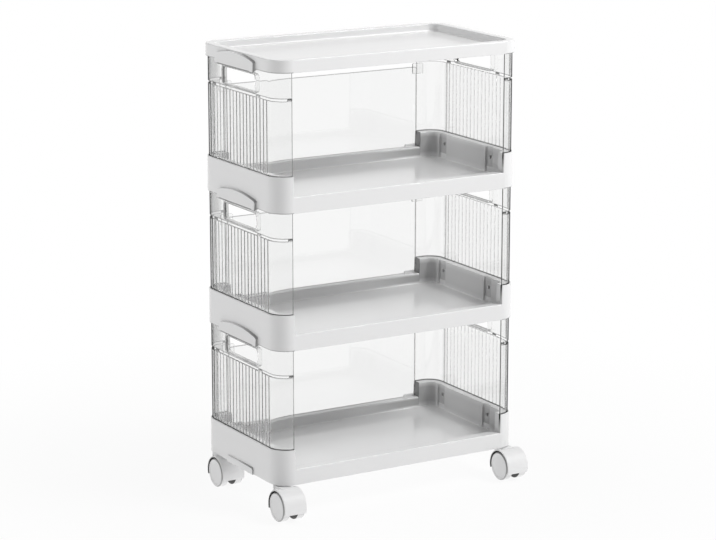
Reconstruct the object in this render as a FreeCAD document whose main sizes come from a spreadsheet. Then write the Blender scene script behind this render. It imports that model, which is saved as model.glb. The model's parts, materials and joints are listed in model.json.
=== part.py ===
import FreeCAD, Part
import operator
import os
import Sketcher

# A three-tier storage cart: a base tray, two shelf trays and a shallow top tray, held apart by clear
# side walls that wrap round the corners, with clear back panels and four twin-wheel casters.
# +Z is up, the front is towards -Y, and the origin is on the floor under the middle of the footprint.

doc = FreeCAD.newDocument("storage_cart")

# Driving dimensions in millimetres: alias, value, meaning.
dimensions = [
    ("panel_width", 400.0, "across the outer faces of the two clear side walls"),
    ("panel_depth", 222.0, "from the front wraps' outer faces to the rear wraps' outer faces"),
    ("panel_corner", 25.0, "outer corner radius of the clear walls in plan"),
    ("panel_thick", 2.5, "thickness of the clear mouldings"),
    ("front_wrap", 25.0, "reach of a side wall along the front, from its outer face"),
    ("rear_wrap", 37.0, "reach of a side wall along the back, from its outer face"),
    ("panel_play", 0.15, "play on each face of a clear panel in its groove"),
    ("tier_gap", 145.0, "clear wall seen between a tray's rim and the tray above"),
    ("handle_drop", 36.0, "depth of the handle panel below the tray above"),
    ("seam_gap", 3.5, "open seam between a handle panel and the ribbed panel below it"),
    ("panel_tuck", 14.0, "how far a handle panel reaches up into the tray above"),
    ("lug_width", 7.0, "width of the lugs that bridge the seam"),
    ("lug_inset", 54.0, "distance of the front middle lug from the front of the clear walls"),
    ("lug_rear_inset", 36.0, "distance of the rear middle lug from the back of the clear walls"),
    ("rib_count", 18, "ribs on a ribbed panel"),
    ("rib_margin", 2.7, "from the last rib's middle to the start of the corner"),
    ("rib_radius", 1.6, "radius of a rib's round back"),
    ("rib_proud", 1.2, "how far a rib stands out of the panel"),
    ("rib_start", 1.0, "from the tray's rim to the foot of the ribs"),
    ("hole_width", 98.0, "width of the hand hole"),
    ("hole_height", 24.5, "height of the hand hole"),
    ("hole_corner", 5.0, "corner radius of the hand hole"),
    ("hole_sill", 2.5, "clear bar under the hand hole"),
    ("hole_rim", 2.0, "thickness of the flange round the hand hole"),
    ("hole_rim_depth", 6.0, "how far the flange reaches inwards from the panel"),
    ("tray_height", 52.0, "tray, from its lower edge to its rim"),
    ("tray_overhang", 2.3, "how far a tray stands outside the clear walls"),
    ("wall_width", 16.0, "box-section wall of a tray, from outer to inner face"),
    ("skin", 2.0, "moulded wall thickness of the trays"),
    ("floor_level", 14.0, "top of a tray's floor above its lower edge"),
    ("floor_thick", 2.5, "thickness of a tray's floor"),
    ("front_lip", 23.5, "height of a tray's front lip"),
    ("back_lip", 29.5, "height of a tray's back lip"),
    ("groove_depth", 8.0, "depth of the groove that a clear wall stands in"),
    ("rim_round", 1.2, "rounding of a tray's outer edges"),
    ("channel_inset", 55.0, "distance of a front wall channel from the front of the clear walls"),
    ("channel_rear_inset", 41.0, "distance of a rear wall channel from the back of the clear walls"),
    ("channel_width", 20.0, "width of a wall channel"),
    ("channel_depth", 3.0, "depth of a wall channel"),
    ("snap_radius", 2.5, "radius of the snap hole in a channel"),
    ("snap_rise", 22.0, "height of the snap hole above the floor"),
    ("seat_near", 15.0, "distance of the inner seat ribs from the middle of the side"),
    ("seat_far", 44.0, "distance of the outer seat ribs from the middle of the side"),
    ("stop_inset", 13.0, "distance of the back panel's stops from the panel's ends"),
    ("stop_width", 17.0, "width of a back panel's stop"),
    ("stop_height", 4.0, "height of a back panel's stop over the back lip"),
    ("stop_thick", 3.0, "thickness of a back panel's stop"),
    ("top_height", 18.5, "top tray, from its lower edge to its rim"),
    ("top_overhang", 3.0, "how far the top tray stands outside the clear walls"),
    ("top_recess", 11.0, "depth of the top tray's recess"),
    ("top_rim", 13.0, "width of the top tray's rim"),
    ("cup_width", 113.0, "width of a finger cup on a tray's end"),
    ("cup_rise", 17.0, "height of a finger cup's arch above the tray's lower edge"),
    ("cup_hang", 5.0, "how far the top tray's finger cup hangs below the tray's lower edge"),
    ("shelf_cup_hang", 3.0, "how far a shelf tray's finger cup hangs below the tray's lower edge"),
    ("cup_bulge", 5.0, "how far a finger cup stands out at its lower edge"),
    ("cup_crest", 3.6, "how far a finger cup stands out at the top of its arch"),
    ("cup_arch", 240.0, "radius of a finger cup's arch"),
    ("foot_width", 78.0, "width of the raised foot plate on the base tray's ends"),
    ("foot_rise", 10.0, "height of the foot plate"),
    ("foot_bulge", 2.5, "how far the foot plate stands out at its lower edge"),
    ("foot_crest", 2.2, "how far the foot plate stands out at its upper edge"),
    ("foot_arch", 1500.0, "radius of the foot plate's nearly straight upper edge"),
    ("back_top", 46.5, "from a back panel's top edge up to the tray above"),
    ("back_groove", 6.0, "depth of the back panel's groove in the back lip"),
    ("back_play", 0.4, "play between a back panel's ends and the rear wraps"),
    ("clip_reach", 10.0, "how far a back panel's clip laps over the rear wrap"),
    ("clip_height", 16.0, "height of a back panel's clip"),
    ("clip_rise", 5.5, "how far a clip rises over the back panel's top edge"),
    ("clip_root", 8.0, "how far a clip laps over the back panel"),
    ("clip_corner", 2.0, "rounding of a clip's corners"),
    ("base_level", 48.0, "base tray's lower edge above the floor"),
    ("stem_inset_x", 11.0, "caster stem from the clear wall's outer face, sideways"),
    ("stem_inset_y", 17.5, "caster stem from the clear wall's outer face, front to back"),
    ("stem_radius", 4.0, "radius of a caster's stem"),
    ("stem_rise", 10.0, "reach of the stem up into the base tray"),
    ("stem_sink", 20.0, "reach of the stem down into the caster's hood"),
    ("collar_radius", 7.0, "radius of the stem's collar"),
    ("collar_thick", 1.5, "thickness of the stem's collar"),
    ("boss_wall", 3.0, "wall of a stem boss"),
    ("stem_grip", 0.02, "radial play of the stem in the base tray's boss"),
    ("ring_height", 1.4, "height of the grip ring round the stem"),
    ("ring_depth", 0.8, "how deep the grip ring sits in the stem"),
    ("ring_proud", 0.8, "how far the grip ring stands out of the stem"),
    ("ring_rise", 5.0, "grip ring above the base tray's lower edge"),
    ("running_play", 0.05, "radial play of a turning fit"),
    ("trail", 21.5, "from the stem forward to the wheels' axle"),
    ("wheel_radius", 21.0, "radius of a caster wheel"),
    ("wheel_thick", 12.0, "thickness of a caster wheel"),
    ("wheel_round", 1.6, "rounding of a wheel's edges"),
    ("dish_depth", 0.8, "depth of the dished face of a wheel"),
    ("dish_rim", 3.0, "width of the rim round the dished face"),
    ("web_thick", 11.0, "thickness of the hood's middle web"),
    ("web_play", 0.5, "gap between the web and a wheel"),
    ("neck_step", 1.0, "how much narrower the bridge to the stem's neck is on each side"),
    ("axle_radius", 3.0, "radius of the wheel axle"),
    ("axle_cover", 3.0, "wheel face left closed over the axle's end"),
    ("hood_gap", 2.0, "gap between the wheels and the hood"),
    ("hood_thick", 2.0, "thickness of the hood"),
    ("hood_skirt", 14.0, "hood's lower edge above the floor"),
]

sheet = doc.addObject("Spreadsheet::Sheet", "sizes")
for row, (alias, value, meaning) in enumerate(dimensions, start=1):
    sheet.set(f"A{row}", meaning)
    sheet.set(f"B{row}", str(value))
    sheet.setAlias(f"B{row}", alias)
doc.recompute()


class Size:
    """A length that keeps the formula it comes from, so that features can be bound to it."""

    signs = {"+": operator.add, "-": operator.sub, "*": operator.mul, "/": operator.truediv}

    def __init__(self, formula, value):
        self.formula = formula
        self.value = value

    def __add__(self, other):
        return combine(self, "+", other)

    def __radd__(self, other):
        return combine(other, "+", self)

    def __sub__(self, other):
        return combine(self, "-", other)

    def __rsub__(self, other):
        return combine(other, "-", self)

    def __mul__(self, other):
        return combine(self, "*", other)

    def __rmul__(self, other):
        return combine(other, "*", self)

    def __truediv__(self, other):
        return combine(self, "/", other)

    def __neg__(self):
        return combine(0.0, "-", self)


def size(value):
    """Makes a Size of a plain number, or hands a Size back."""
    return value if isinstance(value, Size) else Size(str(float(value)), float(value))


def combine(left, sign, right):
    """Joins two lengths into a new one with its own formula."""
    left, right = size(left), size(right)
    value = Size.signs[sign](left.value, right.value)
    return Size(f"({left.formula} {sign} {right.formula})", value)


cell = {alias: Size(f"sizes.{alias}", float(sheet.get(alias))) for alias, value, meaning in dimensions}

# How far a cutting tool runs past the face that it opens.
past = size(1.0)
# Within this of a height, an edge counts as lying at it.
tolerance = 0.01

# Sizes that several pieces share.
panel_x = cell["panel_width"] / 2
panel_y = cell["panel_depth"] / 2
tier_pitch = cell["tray_height"] + cell["tier_gap"]
outer_x = panel_x + cell["tray_overhang"]
outer_y = panel_y + cell["tray_overhang"]
outer_corner = cell["panel_corner"] + cell["tray_overhang"]
inner_x = outer_x - cell["wall_width"]
inner_y = outer_y - cell["wall_width"]
inner_corner = outer_corner - cell["wall_width"]
floor_under = cell["floor_level"] - cell["floor_thick"]
window_front = panel_x - cell["front_wrap"]
window_rear = panel_x - cell["rear_wrap"]
stem_x = panel_x - cell["stem_inset_x"]
stem_y = panel_y - cell["stem_inset_y"]
lug_place = {-1: cell["lug_inset"] - panel_y, 1: panel_y - cell["lug_rear_inset"]}
channel_place = {-1: cell["channel_inset"] - panel_y, 1: panel_y - cell["channel_rear_inset"]}
stop_place = window_rear - cell["stop_inset"]
rib_count = int(cell["rib_count"].value)
rib_pitch = (panel_y - cell["panel_corner"] - cell["rib_margin"]) * 2 / (cell["rib_count"] - 1)
hood_radius = cell["wheel_radius"] + cell["hood_gap"] + cell["hood_thick"]
front_reach = stem_y + cell["trail"] + hood_radius
rear_reach = panel_y + cell["top_overhang"]
# The casters trail forward, so the body stands back by half of what they reach past it.
set_back = (front_reach - rear_reach) / 2


def bind(item, **formulas):
    """Sets an object's properties by formula. A double underscore stands for a dot."""
    for name, length in formulas.items():
        item.setExpression(name.replace("__", "."), size(length).formula)


def place(item, x=0.0, y=0.0, z=0.0):
    """Binds where an object stands."""
    bind(item, Placement__Base__x=x, Placement__Base__y=y, Placement__Base__z=z)


def box(name, x, y, z):
    """A box between two lengths along each axis."""
    item = doc.addObject("Part::Box", name)
    bind(item, Length=x[1] - x[0], Width=y[1] - y[0], Height=z[1] - z[0])
    place(item, x[0], y[0], z[0])
    return item


# Turns that lay an object's own Z axis along X or leave it along Z.
along = {
    "x": FreeCAD.Rotation(FreeCAD.Vector(1, 1, 1), 120),
    "z": FreeCAD.Rotation(),
}


def cylinder(name, axis, centre, radius, start, end):
    """A cylinder along X or Z, from start to end, through the two other coordinates in centre."""
    item = doc.addObject("Part::Cylinder", name)
    item.Placement = FreeCAD.Placement(FreeCAD.Vector(), along[axis])
    bind(item, Radius=radius, Height=end - start)
    if axis == "x":
        place(item, start, centre[0], centre[1])
    else:
        place(item, centre[0], centre[1], start)
    return item


def prism(name, axis, centre, half, corner, start, end):
    """A rounded rectangle carried along X or Z, from start to end."""
    half_u, half_v, corner = size(half[0]), size(half[1]), size(corner)
    u, v, r = half_u.value, half_v.value, corner.value
    sketch = doc.addObject("Sketcher::SketchObject", name + "_outline")
    normal = FreeCAD.Vector(0, 0, 1)
    middles = [(u - r, r - v), (u - r, v - r), (r - u, v - r), (r - u, r - v)]
    ends = [
        ((r - u, -v), (u - r, -v)),
        ((u, r - v), (u, v - r)),
        ((u - r, v), (r - u, v)),
        ((-u, v - r), (-u, r - v)),
    ]
    for turn in range(4):
        first, last = (FreeCAD.Vector(a, b, 0) for a, b in ends[turn])
        sketch.addGeometry(Part.LineSegment(first, last), False)
        circle = Part.Circle(FreeCAD.Vector(*middles[turn], 0), normal, r)
        angle = FreeCAD.Units.Quantity(90 * (turn - 1), "deg").getValueAs("rad").Value
        quarter = FreeCAD.Units.Quantity(90, "deg").getValueAs("rad").Value
        sketch.addGeometry(Part.ArcOfCircle(circle, angle, angle + quarter), False)
    for line in range(0, 8, 2):
        sketch.addConstraint(Sketcher.Constraint("Tangent", line, 2, line + 1, 1))
        sketch.addConstraint(Sketcher.Constraint("Tangent", line + 1, 2, (line + 2) % 8, 1))
        sketch.addConstraint(Sketcher.Constraint("Horizontal" if line % 4 == 0 else "Vertical", line))
    for arc in (3, 5, 7):
        sketch.addConstraint(Sketcher.Constraint("Equal", 1, arc))
    for kind, points, value, formula in (
        ("Radius", (1,), r, corner),
        ("DistanceX", (-1, 1, 2, 1), u, half_u),
        ("DistanceX", (6, 1, -1, 1), u, half_u),
        ("DistanceY", (-1, 1, 4, 1), v, half_v),
        ("DistanceY", (0, 1, -1, 1), v, half_v),
    ):
        index = sketch.addConstraint(Sketcher.Constraint(kind, *points, value))
        sketch.setExpression(f"Constraints[{index}]", formula.formula)
    sketch.Placement = FreeCAD.Placement(FreeCAD.Vector(), along[axis])
    if axis == "x":
        place(sketch, start, centre[0], centre[1])
    else:
        place(sketch, centre[0], centre[1], start)
    item = doc.addObject("Part::Extrusion", name)
    item.Base = sketch
    item.DirMode = "Normal"
    item.Solid = True
    bind(item, LengthFwd=end - start)
    return item


def fuse(name, items):
    """Joins solids that touch or overlap."""
    item = doc.addObject("Part::MultiFuse", name)
    item.Shapes = items
    item.Refine = True
    return item


def cut(name, base, tools):
    """Takes the tools away from a solid."""
    item = doc.addObject("Part::Cut", name)
    item.Base = base
    item.Tool = tools[0] if len(tools) == 1 else fuse(name + "_tools", tools)
    item.Refine = True
    return item


def common(name, items):
    """Keeps what all the solids share."""
    item = doc.addObject("Part::MultiCommon", name)
    item.Shapes = items
    item.Refine = True
    return item


def rounded(name, base, radius, chosen):
    """Rounds the edges of a finished solid that the test picks out."""
    doc.recompute()
    item = doc.addObject("Part::Fillet", name)
    item.Base = base
    reach = size(radius).value
    item.Edges = [(n, reach, reach) for n, edge in enumerate(base.Shape.Edges, start=1) if chosen(edge)]
    return item


nodes = []


def finish(item, label, x=0.0, y=0.0, z=0.0):
    """Names a finished sub-part and stands it in its place."""
    item.Label = label
    place(item, x, y, z)
    nodes.append(item)
    return item


def as_node(name, solid):
    """A single solid as a feature of its own, so that its place can be bound."""
    item = doc.addObject("Part::Compound", name + "_node")
    item.Links = [solid]
    return item


def span(side, near, far):
    """The two bounds, from low to high, of a stretch on the left (-1) or right (+1) side."""
    return (near, far) if side > 0 else (-far, -near)


def mirrored(value):
    """A stretch that reaches as far to each side."""
    return (-value, value)


def centred(middle, width):
    """A stretch of a given width about a middle."""
    return (middle - width / 2, middle + width / 2)


def ring(name, outside, inside, z):
    """A rounded frame between two rounded rectangles, each given by half sizes and corner."""
    outer = prism(name + "_outside", "z", (0.0, 0.0), outside[:2], outside[2], *z)
    inner = prism(name + "_inside", "z", (0.0, 0.0), inside[:2], inside[2], z[0] - past, z[1] + past)
    return cut(name, outer, [inner])


def grown(margin):
    """The clear walls' outer outline grown by a margin: half sizes and corner."""
    return panel_x + margin, panel_y + margin, cell["panel_corner"] + margin


def tray_blank(name, overhang, height):
    """A tray's outer block with its upper edge rounded."""
    half_x, half_y, corner = grown(overhang)
    block = prism(name + "_block", "z", (0.0, 0.0), (half_x, half_y), corner, size(0.0), height)
    top = height.value
    return rounded(
        name + "_blank", block, cell["rim_round"],
        lambda edge: all(abs(vertex.Z - top) < tolerance for vertex in edge.Vertexes),
    )


def finger_cup(name, side, face_x, width, rise, hang, bulge, crest, arch_radius):
    """A scoop on a tray's end wall: its outer form, and the hollow that opens below."""
    skin = cell["skin"]
    forms = []
    for part, inset in (("form", size(0.0)), ("hollow", skin)):
        wedge = doc.addObject("Part::Wedge", f"{name}_{part}_wedge")
        half_width = width / 2 - inset
        foot = -hang if part == "form" else -hang - past
        # The wedge's own Y runs up the wall, its X runs out of the wall.
        wedge.Placement = FreeCAD.Placement(FreeCAD.Vector(), FreeCAD.Rotation(FreeCAD.Vector(1, 0, 0), 90))
        root = skin if part == "form" else skin + cell["tray_overhang"]
        low = span(side, -root, bulge - inset)
        high = span(side, -root, crest - inset)
        bind(
            wedge,
            Xmin=low[0], Xmax=low[1], X2min=high[0], X2max=high[1],
            Ymin=foot, Ymax=rise, Zmin=-half_width, Zmax=half_width, Z2min=-half_width, Z2max=half_width,
        )
        place(wedge, face_x * side)
        arch = cylinder(
            f"{name}_{part}_arch", "x", (0.0, rise - inset - arch_radius), arch_radius,
            *span(side, face_x - cell["wall_width"], face_x + cell["wall_width"]),
        )
        forms.append(common(f"{name}_{part}", [wedge, arch]))
    return forms


def wall_channel_tools(name, wall_hollow):
    """Channels with snap holes in the inner faces of a tray's end walls, and the hollow kept off them."""
    keep_off = []
    tools = []
    for side in (-1, 1):
        for end in (-1, 1):
            tag = f"{name}_{'left' if side < 0 else 'right'}_{'front' if end < 0 else 'rear'}"
            y = centred(channel_place[end], cell["channel_width"])
            x = span(side, inner_x - past, inner_x + cell["channel_depth"])
            z = (cell["floor_level"], cell["tray_height"] + past)
            tools.append(box(tag + "_channel", x, y, z))
            back_x = span(side, inner_x, inner_x + cell["channel_depth"] + cell["skin"])
            back_y = centred(channel_place[end], cell["channel_width"] + cell["skin"] * 2)
            keep_off.append(box(tag + "_channel_back", back_x, back_y, z))
            snap_x = span(side, inner_x, inner_x + cell["channel_depth"] + cell["skin"] + past)
            snap_z = cell["floor_level"] + cell["snap_rise"]
            centre = (channel_place[end], snap_z)
            tools.append(cylinder(tag + "_snap", "x", centre, cell["snap_radius"], *snap_x))
    return cut(name + "_hollow", wall_hollow, keep_off), tools


def seat_ribs(name, inside_x, outside_x, roof):
    """Ribs across a tray's hollow end walls, which the handle panels below bear on."""
    ribs = []
    for side in (-1, 1):
        for number, y in enumerate(mirrored(cell["seat_far"]) + mirrored(cell["seat_near"])):
            tag = f"{name}_{'left' if side < 0 else 'right'}_seat_{number}"
            x = span(side, inside_x - cell["skin"] / 2, outside_x + cell["skin"] / 2)
            ribs.append(box(tag, x, centred(y, cell["skin"]), (cell["panel_tuck"], roof)))
    return ribs


def cup_forms(name, face_x, cup):
    """The finger cups on both ends of a tray: forms to add and hollows to cut."""
    forms, hollows = [], []
    for side in (-1, 1):
        tag = f"{name}_{'left' if side < 0 else 'right'}_cup"
        form, hollow = finger_cup(tag, side, face_x, *cup)
        forms.append(form)
        hollows.append(hollow)
    return forms, hollows


def deep_tray(name, level, cup, seats, casters):
    """A tray with box-section walls, low front and back lips, wall channels and finger cups."""
    skin = cell["skin"]
    height = cell["tray_height"]
    blank = tray_blank(name, cell["tray_overhang"], height)
    bay_z = (cell["floor_level"], height + past)
    bay = prism(name + "_bay", "z", (0.0, 0.0), (inner_x, inner_y), inner_corner, *bay_z)
    front = box(
        name + "_front_window", mirrored(window_front), (-outer_y - past, -inner_y + past),
        (cell["front_lip"], height + past),
    )
    rear = box(
        name + "_rear_window", mirrored(window_rear), (inner_y - past, outer_y + past),
        (cell["back_lip"], height + past),
    )
    under_half = (outer_x - skin, outer_y - skin)
    under = prism(name + "_under", "z", (0.0, 0.0), under_half, outer_corner - skin, -past, floor_under)
    # The walls are hollow from below: up to the lips all round, and higher in the end walls.
    outside = (outer_x - skin, outer_y - skin, outer_corner - skin)
    inside = (inner_x + skin, inner_y + skin, inner_corner + skin)
    low_roof = cell["front_lip"] - skin
    high_roof = height - cell["groove_depth"] - skin
    low = ring(name + "_low_hollow", outside, inside, (floor_under - past, low_roof))
    high = ring(name + "_high_hollow", outside, inside, (low_roof - past, high_roof))
    ends = []
    for side, hand in ((-1, "left"), (1, "right")):
        x = span(side, window_front + skin, outer_x)
        ends.append(box(f"{name}_{hand}_end_zone", x, mirrored(outer_y), (low_roof - past, high_roof)))
    high_ends = common(name + "_high_ends", [high, fuse(name + "_end_zones", ends)])
    hollow, channels = wall_channel_tools(name, fuse(name + "_wall_hollow", [low, high_ends]))
    groove = ring(
        name + "_groove", grown(cell["panel_play"]), grown(-cell["panel_thick"] - cell["panel_play"]),
        (height - cell["groove_depth"], height + past),
    )
    back_slot = box(
        name + "_back_slot", mirrored(window_rear),
        (panel_y - cell["panel_thick"] - cell["panel_play"], panel_y + cell["panel_play"]),
        (cell["back_lip"] - cell["back_groove"], cell["back_lip"] + past),
    )
    forms, hollows = cup_forms(name, outer_x, cup)
    body = fuse(name + "_with_cups", [blank] + forms)
    tools = [bay, front, rear, under, hollow, groove, back_slot] + channels + hollows
    hollowed = cut(name + "_hollowed", body, tools)
    added = []
    for end in (-1, 1):
        added.append(box(
            f"{name}_stop_{'left' if end < 0 else 'right'}", centred(stop_place * end, cell["stop_width"]),
            (panel_y - cell["panel_thick"] - cell["panel_play"] - cell["stop_thick"],
             panel_y - cell["panel_thick"] - cell["panel_play"]),
            (cell["back_lip"] - skin / 2, cell["back_lip"] + cell["stop_height"]),
        ))
    if seats:
        added += seat_ribs(name, inner_x + skin, outer_x - skin, high_roof + skin / 2)
    if casters:
        finished = with_bosses(name, hollowed, added)
    else:
        finished = fuse(name + "_finished", [hollowed] + added)
    return finish(finished, name, y=set_back, z=level)


def with_bosses(name, hollowed, added):
    """Adds the four stem bosses under the base tray's floor, each bored for its stem and grip ring."""
    bosses, bores = [], []
    boss_top = floor_under + cell["floor_thick"] / 2
    for label, side, end in corners:
        centre = (stem_x * side, stem_y * end)
        boss_radius = cell["stem_radius"] + cell["ring_proud"] + cell["boss_wall"]
        bosses.append(cylinder(f"{name}_{label}_boss", "z", centre, boss_radius, size(0.0), boss_top))
        bore = cell["stem_radius"] + cell["stem_grip"]
        bores.append(cylinder(f"{name}_{label}_bore", "z", centre, bore, -past, cell["stem_rise"]))
        groove = cell["stem_radius"] + cell["ring_proud"] + cell["stem_grip"]
        ring_z = (cell["ring_rise"], cell["ring_rise"] + cell["ring_height"])
        bores.append(cylinder(f"{name}_{label}_ring_groove", "z", centre, groove, *ring_z))
    return cut(name + "_bored", fuse(name + "_bossed", [hollowed] + added + bosses), bores)


def shallow_tray(name, level, cup):
    """The top tray: a shallow recess with a broad rim, hollow underneath, with a finger cup on each end."""
    skin = cell["skin"]
    height = cell["top_height"]
    half_x, half_y, corner = grown(cell["top_overhang"])
    rim = cell["top_rim"]
    blank = tray_blank(name, cell["top_overhang"], height)
    floor_top = height - cell["top_recess"]
    bay_half = (half_x - rim, half_y - rim)
    bay = prism(name + "_bay", "z", (0.0, 0.0), bay_half, corner - rim, floor_top, height + past)
    under_top = floor_top - cell["floor_thick"]
    outside = (half_x - skin, half_y - skin, corner - skin)
    under = prism(name + "_under", "z", (0.0, 0.0), outside[:2], outside[2], -past, under_top)
    inside = (half_x - rim + skin, half_y - rim + skin, corner - rim + skin)
    hollow = ring(name + "_hollow", outside, inside, (under_top - past, height - skin))
    forms, hollows = cup_forms(name, half_x, cup)
    body = fuse(name + "_with_cups", [blank] + forms)
    hollowed = cut(name + "_hollowed", body, [bay, under, hollow] + hollows)
    seats = seat_ribs(name, half_x - rim + skin, half_x - skin, height - skin / 2)
    return finish(fuse(name + "_finished", [hollowed] + seats), name, y=set_back, z=level)


def wrapped_wall(name, side, z):
    """A clear wall in plan: one side with both corners and the wraps along the front and the back."""
    whole = ring(name + "_frame", grown(size(0.0)), grown(-cell["panel_thick"]), z)
    zones = []
    for end, wrap in ((-1, cell["front_wrap"]), (1, cell["rear_wrap"])):
        y = (-panel_y - past, size(0.0)) if end < 0 else (size(0.0), panel_y + past)
        tag = f"{name}_{'front' if end < 0 else 'rear'}_zone"
        zones.append(box(tag, span(side, panel_x - wrap, panel_x + past), y, z))
    return common(name + "_wall", [whole, fuse(name + "_zones", zones)])


def ribbed_panel(name, side, level):
    """The lower clear wall of a tier, with ribs and, on its top edge, lugs. Its zero is the rim."""
    foot = -cell["groove_depth"]
    top = cell["tier_gap"] - cell["handle_drop"] - cell["seam_gap"]
    wall = wrapped_wall(name, side, (foot, top))
    added = []
    rib_x = panel_x + cell["rib_proud"] - cell["rib_radius"]
    for number in range(rib_count):
        y = rib_pitch * (number - (rib_count - 1) / 2)
        centre = (rib_x * side, y)
        rib_z = (cell["rib_start"], top)
        added.append(cylinder(f"{name}_rib_{number}", "z", centre, cell["rib_radius"], *rib_z))
    lug_z = (top - cell["seam_gap"], top + cell["seam_gap"])
    side_x = span(side, panel_x - cell["panel_thick"], panel_x)
    for end in (-1, 1):
        tag = f"{name}_{'front' if end < 0 else 'rear'}"
        y = centred(lug_place[end], cell["lug_width"])
        added.append(box(tag + "_side_lug", side_x, y, lug_z))
        wrap_end = window_front if end < 0 else window_rear
        x = span(side, wrap_end, wrap_end + cell["lug_width"])
        wrap_y = (panel_y * end, (panel_y - cell["panel_thick"]) * end)
        added.append(box(tag + "_wrap_lug", x, wrap_y if end < 0 else wrap_y[::-1], lug_z))
    return finish(fuse(name + "_finished", [wall] + added), name, y=set_back, z=level)


def handle_panel(name, side, level):
    """The upper clear wall of a tier, with a flanged hand hole. Its zero is the next tray's lower edge."""
    foot = -cell["handle_drop"]
    wall = wrapped_wall(name, side, (foot, cell["panel_tuck"]))
    middle = foot + cell["hole_sill"] + cell["hole_height"] / 2
    half = (cell["hole_width"] / 2, cell["hole_height"] / 2)
    rim = cell["hole_rim"]
    depth = panel_x - cell["panel_thick"] - cell["hole_rim_depth"]
    flange_x = span(side, depth, panel_x - cell["panel_thick"] / 2)
    flange_half = (half[0] + rim, half[1] + rim)
    flange_corner = cell["hole_corner"] + rim
    flange = prism(name + "_flange", "x", (0.0, middle), flange_half, flange_corner, *flange_x)
    hole_x = span(side, depth - past, panel_x + past)
    hole = prism(name + "_hole", "x", (0.0, middle), half, cell["hole_corner"], *hole_x)
    holed = cut(name + "_holed", fuse(name + "_flanged", [wall, flange]), [hole])
    return finish(holed, name, y=set_back, z=level)


def back_panel(tier, level):
    """The clear back of a tier, standing in the back lip, and two clips that lap it over the rear wraps."""
    half = window_rear - cell["back_play"]
    top = tier_pitch - cell["back_top"]
    y = (panel_y - cell["panel_thick"], panel_y)
    foot = cell["back_lip"] - cell["back_groove"]
    name = f"{tier}_back_panel"
    sheet = box(name + "_sheet", mirrored(half), y, (foot, top))
    finish(as_node(name, sheet), name, y=set_back, z=level)
    for side, hand in ((-1, "left"), (1, "right")):
        name = f"{tier}_{hand}_back_clip"
        x = span(side, half - cell["clip_root"], window_rear + cell["clip_reach"])
        clip_y = (y[0] - cell["panel_thick"], y[0])
        clip_z = (top + cell["clip_rise"] - cell["clip_height"], top + cell["clip_rise"])
        blank = box(name + "_blank", x, clip_y, clip_z)
        clip = rounded(
            name + "_rounded", blank, cell["clip_corner"],
            lambda edge: abs(edge.Vertexes[0].Y - edge.Vertexes[-1].Y) > tolerance,
        )
        finish(as_node(name, clip), name, y=set_back, z=level)


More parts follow.
